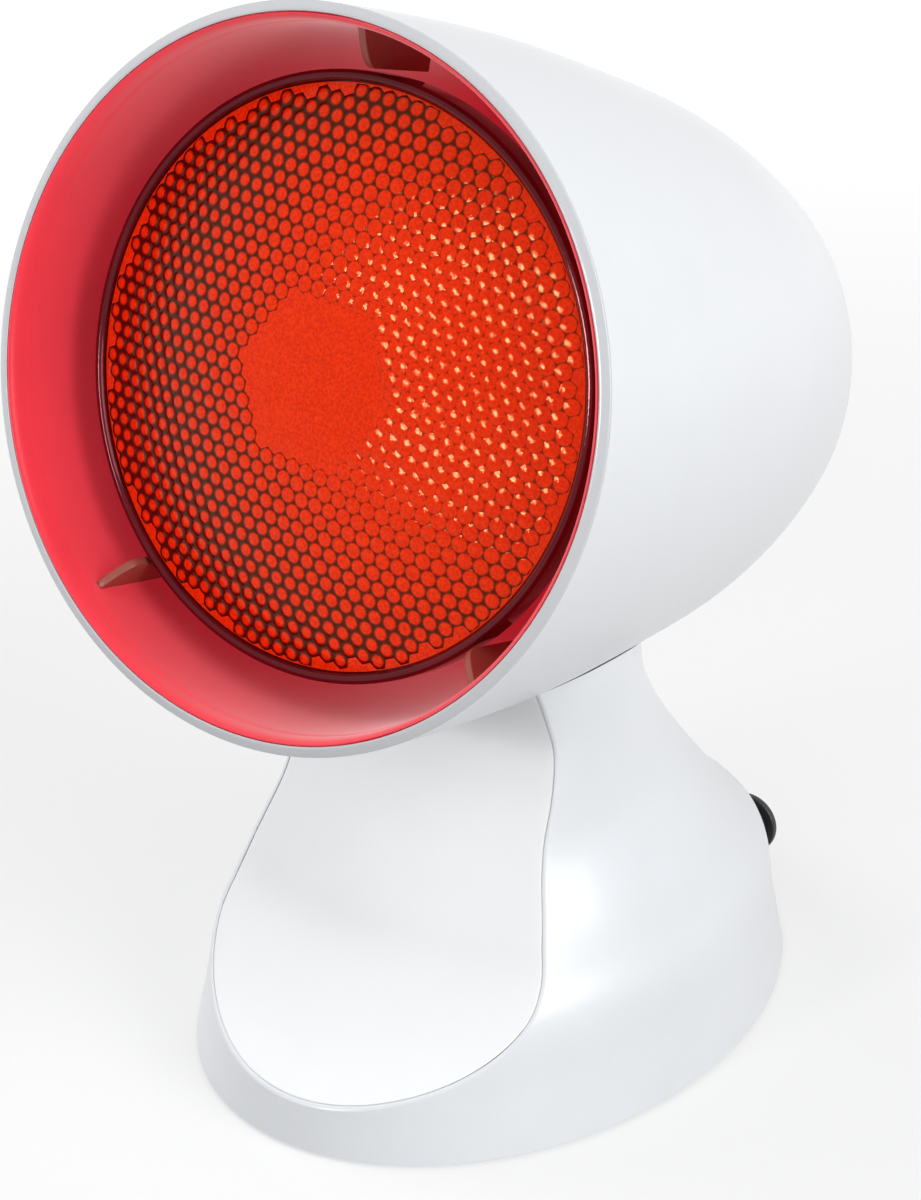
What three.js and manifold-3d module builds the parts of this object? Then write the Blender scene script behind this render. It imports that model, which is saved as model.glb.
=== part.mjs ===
// Infrared heat therapy lamp: a round head with a red reflector bulb, tilting on a weighted table stand.
// Millimetres, +Z up, the lamp faces -Y. The origin is the centre of the footprint on the table.

import * as THREE from 'three';
import { mergeVertices } from 'three/addons/utils/BufferGeometryUtils.js';
import Module from 'manifold-3d';

const wasm = await Module();
wasm.setup();

// Clearances shared by the whole lamp
const gap = 0.3;
const runningGap = 0.6;
const overrun = 4;
const weld = 0.0001;

// Head: a shell of revolution about the bulb's axis, described from the rim backwards
const rimRadius = 73;
const headLength = 165;
const rimCentreY = -74;
const rimFootZ = 101;
const rimCentreZ = rimFootZ + rimRadius;
const shellWall = 2.2;
const headTilt = THREE.MathUtils.degToRad(16);
const shellShares = [
  [0, 1], [0.12, 0.99], [0.3, 0.96], [0.5, 0.896], [0.66, 0.832], [0.797, 0.742],
  [0.897, 0.645], [0.958, 0.507], [0.988, 0.345], [0.998, 0.17],
];
const shellSteps = 15;
const undersideTries = 8;
const headFacets = 36;

// Lip ring on the shell's front edge, bevelled outwards
const lipInnerRadius = rimRadius - shellWall;
const lipDepth = 1.6;
const lipBevelDepth = 1.1;
const lipLand = 0.4;

// Inner shade with three ribs that centre the bulb
const shadeWall = 1.3;
const shadeMouthRadius = rimRadius - shellWall - gap;
const shadeStraightDepth = 60;
const shadeShoulderInset = 14;
const shadeShoulderDepth = 92;
const shadeHoleRadius = 24;
const shadeConeDepth = 12;
const shadeHoleDepth = shadeShoulderDepth + shadeConeDepth;
const ribThickness = 1.8;
const ribStart = 8;
const ribRise = 6;
const ribEnd = 32;
const ribBulbGap = 0.8;
const ribAngles = [90, 230, 315];
const ribCurveSegments = 5;
const plateCurveSegments = 10;

// Reflector bulb, 121 mm across its glass ring
const bulbInset = 12.5;
const bulbRadius = rimRadius - bulbInset;
const bulbRingDepth = 17;
const bulbRingWidth = 5;
const bulbRingRound = 0.8;
const lensApexDepth = 9;
const lensInset = 2.5;
const lensRadius = bulbRadius - lensInset;
const lensThickness = 3.2;
const lensRings = 5;
const glassWall = 1.8;
const reflectorShares = [
  [0.985, 0.2], [0.86, 0.39], [0.67, 0.6], [0.48, 0.765], [0.315, 0.88], [0.273, 0.94], [0.273, 1],
];
const bulbNeckDepth = 100;
const capRadius = 13.2;
const capWall = 1.2;
const capFlangeRadius = 14.5;
const capFlangeWidth = 2.6;
const capEndDepth = 127;
const threadPitch = 3.63;
const threadDepth = 0.9;
const threadTurns = 5;
const threadSamples = 2;
const capFacets = 24;
const tipEndDepth = 139;
const tipBaseRadius = 9.5;
const tipRadius = 4.6;
const tipHeight = 3;
const stemRadius = 6;
const stemTopRadius = 3;
const stemTopDepth = 72;
const stemFlange = 2.4;
const filamentWire = 1;
const filamentReach = 9;
const filamentRise = 13;
const filamentDipShare = 0.8;
const stemFacets = 20;
const wireFacets = 6;
const wireSteps = 24;

// Ceramic lamp socket and its bracket
const socketFront = 103.6;
const socketBack = 147;
const socketRadius = 21;
const socketBore = 14.4;
const socketFloor = 6;
const socketBevel = 3;
const sleeveInner = 13.5;
const sleeveWall = 0.6;
const sleeveFront = 105.5;
const sleeveBack = 131;
const contactThickness = 1.2;
const contactWidth = 6;
const contactLength = 20;
const bracketThickness = 1.8;
const bracketShare = 0.548;
const bracketHalfLength = rimRadius * bracketShare;
const bracketHalfWidth = 9;
const bracketBossInset = 6;
const bracketBossX = bracketHalfLength - bracketBossInset;
const bracketBossRadius = 4.5;
const socketScrewX = 9;
const socketScrewShare = 0.6;
const socketHoleShare = 0.8;
const socketFacets = 32;

// Vent cap in the back of the head
const ventRadius = 27;
const ventSlotWidth = 2.6;
const ventSlotPitch = 6.4;
const ventSlotCount = 7;
const ventSlotReach = 21;
const ventStartShare = 0.9;

// Stand: an oval skirt that narrows to a neck, cut away in front by a curved panel
const standHalfWidth = 61;
const standHalfDepth = 81;
const standHeight = 100;
const standTopMargin = 12;
const skirtLift = 0.8;
const standWall = 2.4;
// height, half width, half depth and shift, as shares of the three sizes above (shift of the half depth)
const standShares = [
  [0, 1, 1, 0], [0.1425, 0.953, 0.965, 0], [0.285, 0.907, 0.93, 0], [0.36, 0.856, 0.845, -0.019],
  [0.44, 0.802, 0.765, -0.037], [0.61, 0.669, 0.63, -0.074], [0.73, 0.633, 0.545, -0.105],
  [0.85, 0.623, 0.481, -0.136], [1, 0.631, 0.494, -0.185], [1.12, 0.64, 0.51, -0.23],
];
const standLevels = 12;
const standFacets = 40;

// Front panel: its centre line as shares of the stand's height and half depth, and its crown across
const panelShares = [
  [0.0, -1.12], [0.108, -0.973], [0.181, -0.853], [0.246, -0.763], [0.35, -0.643], [0.437, -0.585],
  [0.53, -0.524], [0.61, -0.475], [0.72, -0.427], [0.83, -0.415], [0.9, -0.441], [1, -0.495], [1.12, -0.56],
];
const panelCrown = 7.6;
const panelCrownWidth = 39;
const panelThickness = 2.6;
const panelLand = 0.6;
const panelLevels = 15;
const panelColumns = 8;

// Underside
const padThickness = 1.8;
const padSideInset = 13;
const padHalfWidth = standHalfWidth - padSideInset;
const padEndInset = 14;
const padHalfDepth = standHalfDepth - padEndInset;
const coverThickness = 2.5;
const ballastThickness = 6;
const ballastSideInset = 19;
const ballastHalfWidth = standHalfWidth - ballastSideInset;
const ballastEndInset = 31;
const ballastHalfDepth = standHalfDepth - ballastEndInset;
const ballastY = -10;
const ballastScrewInset = 16;
const ballastScrewY = ballastHalfDepth - ballastScrewInset;
const coverScrewWidthShare = 0.697;
const coverScrewX = standHalfWidth * coverScrewWidthShare;
const coverScrewDepthShare = 0.58;
const coverScrewY = standHalfDepth * coverScrewDepthShare;
const coverBossRadius = 4.5;
const ovalFacets = 40;

// Tilt hinge at the back of the neck
const hingeY = 18;
const hingeZ = 77.5;
const tiltRange = THREE.MathUtils.degToRad(28);
const armHalfWidth = 7;
const knuckleRadius = 6;
const pinRadius = 3;
const pinClearance = 0.05;
const pinHeadRadius = 5;
const pinHeadHeight = 2.2;
const earInner = 10;
const earThickness = 2.3;
const earRadius = 5.5;
const washerThickness = 1;
const nutHeight = 4;
const nutRadius = 5.5;
const pinOverhang = 0.8;
const armFlangeEndY = 42;
const armFlangeEndZ = 81;
const armFlangeMidY = 30;
const armFlangeMidZ = 77;
const armScrewX = 4;
const armScrewY = 35;
const armScrewSeatRise = 3.1;
const armTopZ = 93;
const notchHalfWidth = 9.4;
const notchFrontY = -2;
const notchBottomZ = 66;
const yokeWebBottom = 62;
const yokeWebThickness = 2.5;
const yokeWebFrontY = 6;
const yokeWebBackY = 32;
const yokeScrewReach = 9.5;
const seatThickness = 6;
const seatHalfWidth = 14;
const indexRadius = 9;
const indexThickness = 1.5;
const indexNotchRadius = 0.5;
const indexStep = THREE.MathUtils.degToRad(7);
const indexDip = THREE.MathUtils.degToRad(20);
const indexStops = 5;
const springThickness = 0.6;
const springHalfLength = 5;
const springFootLength = 6;
const springBump = 1.6;

// Rocker switch at the back of the skirt
const switchZ = 15;
const bezelHalfWidth = 11.5;
const bezelHalfHeight = 9;
const bezelThickness = 2.2;
const bezelSeatInset = 5;
const bezelSeatY = standHalfDepth - bezelSeatInset;
const switchHalfWidth = 10;
const switchHalfHeight = 7.2;
const switchDepth = 17;
const rockerHalfWidth = 8.2;
const rockerHalfHeight = 4.8;
const rockerCavityHalfWidth = 9;
const rockerCavityHalfHeight = 5.2;
const rockerPivotDepth = 0.6;
const rockerPivotY = bezelSeatY - rockerPivotDepth;
const rockerCavityDepth = 7.5;
const rockerCrown = 2.4;
const rockerDish = 1.2;
const rockerEdge = 1;
const rockerFoot = 5;
const rockerFootHalfWidth = 2;
const rockerAxleRadius = 1.2;
const rockerAxleHalfLength = 6.2;
const rockerThrow = THREE.MathUtils.degToRad(14);
const switchPadHalfWidth = 14.5;
const switchPadThickness = 5;
const switchPadFrontY = bezelSeatY - switchPadThickness;
const switchPadTopZ = 27;

// Cable gland beside the switch, with its nut and the cord clamp inside
const glandX = 24;
const glandZ = 15;
const glandSeatInset = 9;
const glandSeatY = standHalfDepth - glandSeatInset;
const glandSeatRadius = 9;
const glandSeatDepth = 11;
const glandFlangeRadius = 7.6;
const glandFlangeThickness = 2.6;
const glandBodyRadius = 5.4;
const glandBore = 4;
const glandLength = 19;
const glandNutHeight = 4;
const glandNutRadius = 8;
const clampInset = 35;
const clampY = standHalfDepth - clampInset;
const clampHalfWidth = 11;
const clampHalfDepth = 3.6;
const clampPadHeight = 3.4;
const clampBarHeight = 4.6;
const clampGroove = 2.6;
const clampScrewX = 7.6;

// Terminal block and the leads inside
const terminalX = -24;
const terminalInset = 32;
const terminalY = standHalfDepth - terminalInset;
const terminalHalfWidth = 9;
const terminalHalfDepth = 5.5;
const terminalHeight = 9;
const terminalHoleRadius = 1.5;
const terminalHolePitch = 8;
const leadRadius = 2.1;
const leadFacets = 8;
const leadSteps = 20;
const leadY = 4;
const leadTopZ = 86.3;
const leadHoleRadius = 3;
const leadShellGap = 1.5;
const leadSocketStep = 9;
const leadBend = 6;
// The stand's lead, as shares of the way from the hinge (0, 0, 1) back to the terminal block (1, 1, 0)
const standLeadShares = [
  [1, 1, 0], [1, 0.918, 0.005], [0.917, 0.74, 0.053], [0.75, 0.46, 0.126], [0.375, 0.1, 0.311],
  [0.083, -0.077, 0.522], [0, -0.102, 0.68], [0, -0.077, 0.838], [0, 0, 1],
];
const terminalLeadShare = 0.6;

// Screws
const screwHeadRadius = 3;
const screwHeadHeight = 2;
const screwShaftRadius = 1.6;
const screwFacets = 12;
const rodFacets = 24;
const nutFacets = 6;
const notchFacets = 8;
const smallScrewHeadRadius = 2.2;
const smallScrewHeadHeight = 1.4;
const smallScrewShaftRadius = 1.1;

// Materials
const glossWhite = { color: 0xf2f4f6, roughness: 0.22, metalness: 0 };
const shadeRed = { color: 0xd4455a, roughness: 0.35, metalness: 0 };
const lensRed = { color: 0xf03a0a, roughness: 0.15, metalness: 0 };
const glassRed = { color: 0x6a0f22, roughness: 0.1, metalness: 0 };
const darkPlastic = { color: 0x202226, roughness: 0.45, metalness: 0 };
const rubber = { color: 0x2c2d30, roughness: 0.85, metalness: 0 };
const steel = { color: 0xa8adb3, roughness: 0.35, metalness: 1 };
const brass = { color: 0xc9a54b, roughness: 0.35, metalness: 1 };
const ceramic = { color: 0xece7dc, roughness: 0.5, metalness: 0 };
const insulation = { color: 0xd8d8d4, roughness: 0.6, metalness: 0 };

// Closed solids from three.js geometries, joined and cut by the manifold library
function signedVolume(positions, index) {
  const a = new THREE.Vector3();
  const b = new THREE.Vector3();
  const c = new THREE.Vector3();
  let sum = 0;
  for (let i = 0; i < index.length; i += 3) {
    a.fromArray(positions, 3 * index[i]);
    b.fromArray(positions, 3 * index[i + 1]);
    c.fromArray(positions, 3 * index[i + 2]);
    sum += a.dot(b.cross(c));
  }
  return sum / 6;
}

function solid(geometry) {
  const bare = geometry.clone();
  bare.deleteAttribute('normal');
  bare.deleteAttribute('uv');
  const merged = mergeVertices(bare, weld);
  const positions = Float32Array.from(merged.attributes.position.array);
  const index = [];
  const all = merged.index.array;
  for (let i = 0; i < all.length; i += 3) {
    const [a, b, c] = [all[i], all[i + 1], all[i + 2]];
    if (a !== b && b !== c && c !== a) index.push(a, b, c);
  }
  if (signedVolume(positions, index) < 0) index.reverse();
  return new wasm.Manifold(new wasm.Mesh({
    numProp: 3, vertProperties: positions, triVerts: Uint32Array.from(index),
  }));
}

function toGeometry(shape) {
  const mesh = shape.getMesh();
  const geometry = new THREE.BufferGeometry();
  geometry.setAttribute('position', new THREE.BufferAttribute(Float32Array.from(mesh.vertProperties), 3));
  geometry.setIndex(new THREE.BufferAttribute(Uint32Array.from(mesh.triVerts), 1));
  geometry.computeVertexNormals();
  return geometry;
}

function join(shapes) {
  return shapes.reduce((all, next) => all.add(next));
}

function moved(geometry, x, y, z) {
  return solid(geometry.translate(x, y, z));
}

function block(x0, x1, y0, y1, z0, z1) {
  const box = new THREE.BoxGeometry(x1 - x0, y1 - y0, z1 - z0);
  return moved(box, (x0 + x1) / 2, (y0 + y1) / 2, (z0 + z1) / 2);
}

// A solid of revolution about +Y from [radius, distance] points. A line off the axis is closed on itself.
function turned(points, facets) {
  const closed = points[0][0] === 0 ? points : [...points, points[0]];
  return solid(new THREE.LatheGeometry(closed.map(([r, s]) => new THREE.Vector2(r, s)), facets));
}

function rodX(radius, x0, x1, y, z, facets = rodFacets) {
  const rod = new THREE.CylinderGeometry(radius, radius, x1 - x0, facets).rotateZ(Math.PI / 2);
  return moved(rod, (x0 + x1) / 2, y, z);
}

function rodY(radius, x, y0, y1, z, facets = rodFacets) {
  return moved(new THREE.CylinderGeometry(radius, radius, y1 - y0, facets), x, (y0 + y1) / 2, z);
}

function rodZ(radius, x, y, z0, z1, facets = rodFacets) {
  const rod = new THREE.CylinderGeometry(radius, radius, z1 - z0, facets).rotateX(Math.PI / 2);
  return moved(rod, x, y, (z0 + z1) / 2);
}

// An outline in the Y-Z plane, extruded along X
function sidePlate(shape, x0, x1) {
  const plate = new THREE.ExtrudeGeometry(shape, {
    depth: x1 - x0, bevelEnabled: false, curveSegments: plateCurveSegments,
  });
  const turn = new THREE.Matrix4().makeBasis(
    new THREE.Vector3(0, 1, 0), new THREE.Vector3(0, 0, 1), new THREE.Vector3(1, 0, 0),
  );
  return moved(plate.applyMatrix4(turn), x0, 0, 0);
}

function polygon(points) {
  return new THREE.Shape(points.map(([x, y]) => new THREE.Vector2(x, y)));
}

// A flat oval plate lying on the X-Y plane
function ovalPlate(halfWidth, halfDepth, y, z0, z1) {
  const plate = new THREE.CylinderGeometry(1, 1, z1 - z0, ovalFacets).rotateX(Math.PI / 2);
  return moved(plate.scale(halfWidth, halfDepth, 1), 0, y, (z0 + z1) / 2);
}

function tube(points, radius, facets, steps) {
  const section = new THREE.Shape();
  for (let i = 0; i < facets; i += 1) {
    const turn = (2 * Math.PI * i) / facets;
    section[i ? 'lineTo' : 'moveTo'](radius * Math.cos(turn), radius * Math.sin(turn));
  }
  const path = new THREE.CatmullRomCurve3(points.map((p) => new THREE.Vector3(...p)));
  return solid(new THREE.ExtrudeGeometry(section, { steps, bevelEnabled: false, extrudePath: path }));
}

// A screw whose head sits above z0 and whose shaft runs down from it
function screwZ(x, y, z0, length, headRadius, headHeight, shaftRadius) {
  const head = rodZ(headRadius, x, y, z0, z0 + headHeight, screwFacets);
  return head.add(rodZ(shaftRadius, x, y, z0 - length, z0 + headHeight / 2, screwFacets));
}

// The same screw along the bulb's axis: its head lies between s0 and s1, its shaft runs to s2
function screwS(x, s0, s1, s2, headRadius, shaftRadius) {
  const head = rodY(headRadius, x, s0, s1, 0, screwFacets);
  return head.add(rodY(shaftRadius, x, Math.min(s1, s2, s0), Math.max(s0, s1, s2), 0, screwFacets));
}

// Smooth interpolation of a table of shares: the first column is the parameter
function reader(table) {
  const columns = table[0].length - 1;
  const keys = Float32Array.from(table.map((row) => row[0]));
  const values = Float32Array.from(table.flatMap((row) => row.slice(1)));
  const cubic = new THREE.CubicInterpolant(keys, values, columns, new Float32Array(columns));
  return (t) => Array.from(cubic.evaluate(t));
}

// Moves a line of [radius, distance] points along its own normal: positive is away from the axis
function offsetLine(points, distance) {
  return points.map(([r, s], i) => {
    const [r0, s0] = points[Math.max(i - 1, 0)];
    const [r1, s1] = points[Math.min(i + 1, points.length - 1)];
    const length = Math.hypot(r1 - r0, s1 - s0);
    return [r + (distance * (s1 - s0)) / length, s - (distance * (r1 - r0)) / length];
  });
}

// Head shapes, in the head's own frame: +Y runs back along the bulb's axis, the rim lies at Y = 0
function shellLine() {
  const knots = shellShares.map(([s, r]) => new THREE.Vector3(r * rimRadius, s * headLength, 0));
  const curve = new THREE.CatmullRomCurve3(knots, false, 'centripetal');
  return curve.getSpacedPoints(shellSteps).map((p) => [p.x, p.y]);
}

function shellRadiusAt(s) {
  const line = shellLine();
  const i = Math.max(line.findIndex(([, far]) => far > s), 1);
  const [r0, s0] = line[i - 1];
  const [r1, s1] = line[i];
  return r0 + ((r1 - r0) * (s - s0)) / (s1 - s0);
}

// Height of the shell's underside at a place along the lamp, in the world
function undersideZ(y) {
  let s = y - rimCentreY;
  for (let i = 0; i < undersideTries; i += 1) {
    s = (y - rimCentreY + shellRadiusAt(s) * Math.sin(headTilt)) / Math.cos(headTilt);
  }
  return rimCentreZ - s * Math.sin(headTilt) - shellRadiusAt(s) * Math.cos(headTilt);
}

function headSolid(distance) {
  const line = offsetLine(shellLine(), distance);
  const back = line[line.length - 1][1];
  return turned([[0, line[0][1]], ...line, [0, back]], headFacets);
}

const toHead = new THREE.Matrix4()
  .makeTranslation(0, rimCentreY, rimCentreZ)
  .multiply(new THREE.Matrix4().makeRotationX(-headTilt));

function headInWorld(shape, tilt = 0) {
  const swing = new THREE.Matrix4()
    .makeTranslation(0, hingeY, hingeZ)
    .multiply(new THREE.Matrix4().makeRotationX(-tilt))
    .multiply(new THREE.Matrix4().makeTranslation(0, -hingeY, -hingeZ));
  return solid(toGeometry(shape).applyMatrix4(swing.multiply(toHead)));
}

function worldInHead(shape) {
  return solid(toGeometry(shape).applyMatrix4(toHead.clone().invert()));
}

function bracketBosses() {
  const from = socketBack + gap + bracketThickness + gap;
  return [-1, 1].map((side) => rodY(
    bracketBossRadius, side * bracketBossX, from, headLength, 0, screwFacets,
  ));
}

function armScrews() {
  const seat = undersideZ(armScrewY) + armScrewSeatRise;
  return [-1, 1].map((side) => screwZ(
    side * armScrewX, armScrewY, seat, seat - armFlangeMidZ - screwShaftRadius * 2,
    screwHeadRadius, screwHeadHeight, screwShaftRadius,
  ));
}

function headShell() {
  let shell = headSolid(0).subtract(headSolid(-shellWall));
  const reach = 2 * rimRadius;
  shell = shell.subtract(block(-reach, reach, -overrun, lipDepth + gap, -reach, reach));
  shell = shell.subtract(rodY(ventRadius, 0, headLength / 2, headLength + overrun, 0, headFacets));
  const bosses = join(bracketBosses()).intersect(headSolid(-shellWall / 2));
  shell = shell.add(bosses.subtract(rodY(ventRadius, 0, 0, headLength + overrun, 0, headFacets)));
  [-1, 1].forEach((side) => {
    const hole = rodY(
      screwShaftRadius + gap, side * bracketBossX, socketBack, headLength - shellWall * 3, 0, screwFacets,
    );
    shell = shell.subtract(hole);
    const armHole = rodZ(
      screwShaftRadius + gap, side * armScrewX, armScrewY,
      hingeZ, undersideZ(armScrewY) + 2 * overrun, screwFacets,
    );
    shell = shell.subtract(worldInHead(armHole));
  });
  const leadHole = rodZ(leadHoleRadius, 0, leadY, hingeZ, leadTopZ + 2 * overrun, screwFacets);
  return shell.subtract(worldInHead(leadHole));
}

function rimRing() {
  return turned([
    [lipInnerRadius, 0], [lipInnerRadius + lipLand, 0], [rimRadius, lipBevelDepth],
    [rimRadius, lipDepth], [lipInnerRadius, lipDepth],
  ], headFacets);
}

function shadeLine() {
  const line = offsetLine(shellLine(), -shellWall - gap);
  const kept = line.filter(([, s]) => s > lipDepth && s < shadeStraightDepth);
  const shoulder = shellRadiusAt(shadeShoulderDepth) - shadeShoulderInset;
  return [
    [shadeMouthRadius, gap], ...kept, [shoulder, shadeShoulderDepth], [shadeHoleRadius, shadeHoleDepth],
  ];
}

function innerShade() {
  const outer = shadeLine();
  const inner = offsetLine(outer, -shadeWall).reverse();
  inner[inner.length - 1][1] = gap;
  const bowl = turned([...outer, ...inner], headFacets);
  const filled = turned([[0, outer[0][1]], ...outer, [0, shadeHoleDepth]], headFacets);
  const top = bulbRadius + ribBulbGap;
  const outline = new THREE.Shape();
  outline.moveTo(rimRadius, ribStart);
  outline.lineTo(shadeMouthRadius - shadeWall, ribStart);
  outline.quadraticCurveTo(top, ribStart + ribRise / 2, top, ribStart + ribRise);
  outline.lineTo(top, ribEnd);
  outline.lineTo(rimRadius, ribEnd);
  const ribs = ribAngles.map((angle) => {
    const rib = new THREE.ExtrudeGeometry(outline, {
      depth: ribThickness, bevelEnabled: false, curveSegments: ribCurveSegments,
    });
    rib.translate(0, 0, -ribThickness / 2).rotateY(-THREE.MathUtils.degToRad(angle));
    return solid(rib);
  });
  return bowl.add(join(ribs).intersect(filled));
}

function ventCap() {
  const disc = rodY(ventRadius - gap, 0, headLength * ventStartShare, headLength, 0, headFacets);
  let cap = headSolid(0).intersect(disc);
  cap = cap.subtract(headSolid(-shellWall));
  for (let i = 0; i < ventSlotCount; i += 1) {
    const z = (i - (ventSlotCount - 1) / 2) * ventSlotPitch;
    const reach = Math.sqrt(ventSlotReach ** 2 - z ** 2);
    const half = ventSlotWidth / 2;
    cap = cap.subtract(block(-reach, reach, headLength / 2, headLength + overrun, z - half, z + half));
  }
  return cap;
}

// Bulb
function lensDome(radius, apex, edgeRadius, steps) {
  const points = [];
  for (let i = 0; i <= steps; i += 1) {
    const r = (edgeRadius * i) / steps;
    points.push([r, apex + radius - Math.sqrt(radius ** 2 - r ** 2)]);
  }
  return points;
}

function bulbLens() {
  const sag = bulbRingDepth - lensApexDepth;
  const radius = (lensRadius ** 2 + sag ** 2) / (2 * sag);
  const front = lensDome(radius, lensApexDepth, lensRadius, lensRings);
  const back = lensDome(radius, lensApexDepth + lensThickness, lensRadius, lensRings).reverse();
  return turned([...front, ...back], headFacets);
}

function reflectorLine() {
  return reflectorShares.map(([r, s]) => [r * bulbRadius, s * bulbNeckDepth]);
}

function bulbReflector() {
  const ringEnd = bulbRingDepth + bulbRingWidth;
  const cone = reflectorLine().filter(([, s]) => s > ringEnd);
  const inner = offsetLine(cone, -glassWall).reverse();
  inner[0][1] = bulbNeckDepth;
  return turned([
    [lensRadius + gap, bulbRingDepth - bulbRingRound],
    [bulbRadius - bulbRingRound, bulbRingDepth - bulbRingRound],
    [bulbRadius, bulbRingDepth], [bulbRadius, ringEnd], ...cone, ...inner,
    [lensRadius + gap - glassWall, ringEnd + bulbRingRound],
    [lensRadius + gap, ringEnd + bulbRingRound],
  ], headFacets);
}

function screwCap() {
  const front = bulbNeckDepth + gap;
  const threadStart = front + capFlangeWidth;
  const points = [[capRadius - capWall - threadDepth, front], [capFlangeRadius, front]];
  points.push([capFlangeRadius, threadStart]);
  const steps = threadTurns * threadSamples;
  for (let i = 0; i <= steps; i += 1) {
    const wave = (1 - Math.cos((i / threadSamples) * 2 * Math.PI)) / 2;
    const s = threadStart + gap + (i / threadSamples) * threadPitch;
    points.push([capRadius - threadDepth * (1 - wave), s]);
  }
  points.push([tipBaseRadius, capEndDepth], [tipBaseRadius - capWall, capEndDepth]);
  points.push([capRadius - capWall - threadDepth, capEndDepth - 2 * capWall]);
  return turned(points, capFacets);
}

function bulbTip() {
  const front = capEndDepth + gap;
  return turned([
    [0, front], [tipBaseRadius, front], [tipRadius, tipEndDepth - tipHeight],
    [tipRadius, tipEndDepth - tipHeight / 4], [tipRadius / 2, tipEndDepth], [0, tipEndDepth],
  ], capFacets);
}

function filamentStem() {
  const base = bulbNeckDepth - gap;
  const flange = reflectorShares[reflectorShares.length - 1][0] * bulbRadius - glassWall - gap;
  return turned([
    [0, stemTopDepth], [stemTopRadius, stemTopDepth], [stemRadius, base - 2 * stemFlange],
    [flange, base - stemFlange], [flange, base], [0, base],
  ], stemFacets);
}

function filament() {
  const foot = stemTopDepth - gap;
  const half = stemTopRadius / 2;
  return tube([
    [-half, foot, 0], [-half - filamentReach / 4, foot - filamentRise / 2, 0],
    [-filamentReach, foot - filamentRise, 0], [0, foot - filamentRise * filamentDipShare, 0],
    [filamentReach, foot - filamentRise, 0], [half + filamentReach / 4, foot - filamentRise / 2, 0],
    [half, foot, 0],
  ], filamentWire, wireFacets, wireSteps);
}

// Socket
function lampSocket() {
  let body = turned([
    [socketBore, socketFront], [socketRadius - socketBevel, socketFront],
    [socketRadius, socketFront + socketBevel], [socketRadius, socketBack - socketBevel],
    [socketRadius - socketBevel, socketBack], [0, socketBack],
    [0, socketBack - socketFloor], [socketBore, socketBack - socketFloor],
  ], socketFacets);
  [-1, 1].forEach((side) => {
    const hole = rodY(
      smallScrewShaftRadius + gap, side * socketScrewX,
      socketBack - socketFloor * socketHoleShare, socketBack + overrun, 0, screwFacets,
    );
    body = body.subtract(hole);
  });
  return body;
}

function socketSleeve() {
  const outer = sleeveInner + sleeveWall;
  return turned([
    [sleeveInner, sleeveFront], [outer, sleeveFront], [outer, sleeveBack], [sleeveInner, sleeveBack],
  ], socketFacets);
}

function socketContact() {
  const back = socketBack - socketFloor - gap;
  const half = contactWidth / 2;
  return block(-contactLength / 2, contactLength / 2, back - contactThickness, back, -half, half);
}

function socketBracket() {
  const front = socketBack + gap;
  const back = front + bracketThickness;
  let plate = block(
    -bracketHalfLength, bracketHalfLength, front, back, -bracketHalfWidth, bracketHalfWidth,
  );
  [-1, 1].forEach((side) => {
    [[bracketBossX, screwShaftRadius], [socketScrewX, smallScrewShaftRadius]].forEach(([x, radius]) => {
      plate = plate.subtract(rodY(radius + gap, side * x, front - overrun, back + overrun, 0, screwFacets));
    });
  });
  return plate;
}

function bracketScrew(side) {
  const seat = socketBack;
  return screwS(
    side * bracketBossX, seat - screwHeadHeight, seat, headLength - shellWall * 4,
    screwHeadRadius, screwShaftRadius,
  );
}

function socketScrew(side) {
  const seat = socketBack + gap + bracketThickness + gap;
  return screwS(
    side * socketScrewX, seat + smallScrewHeadHeight, seat, socketBack - socketFloor * socketScrewShare,
    smallScrewHeadRadius, smallScrewShaftRadius,
  );
}

// Stand shapes
const standAt = reader(standShares);
const panelAt = reader(panelShares);

function standSolid(inset, z0) {
  const top = standHeight + standTopMargin;
  const positions = [];
  const index = [];
  for (let level = 0; level <= standLevels; level += 1) {
    const z = z0 + ((top - z0) * level) / standLevels;
    const [width, depth, shift] = standAt(z / standHeight);
    for (let i = 0; i < standFacets; i += 1) {
      const turn = (2 * Math.PI * i) / standFacets;
      positions.push(
        (width * standHalfWidth - inset) * Math.cos(turn),
        shift * standHalfDepth + (depth * standHalfDepth - inset) * Math.sin(turn), z,
      );
    }
  }
  const ring = (level, i) => level * standFacets + (i % standFacets);
  for (let level = 0; level < standLevels; level += 1) {
    for (let i = 0; i < standFacets; i += 1) {
      index.push(ring(level, i), ring(level, i + 1), ring(level + 1, i + 1));
      index.push(ring(level, i), ring(level + 1, i + 1), ring(level + 1, i));
    }
  }
  for (let i = 1; i < standFacets - 1; i += 1) {
    index.push(ring(0, 0), ring(0, i + 1), ring(0, i));
    index.push(ring(standLevels, 0), ring(standLevels, i), ring(standLevels, i + 1));
  }
  return gridSolid(positions, index);
}

function gridSolid(positions, index) {
  const geometry = new THREE.BufferGeometry();
  geometry.setAttribute('position', new THREE.Float32BufferAttribute(positions, 3));
  geometry.setIndex(index);
  return solid(geometry);
}

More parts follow.
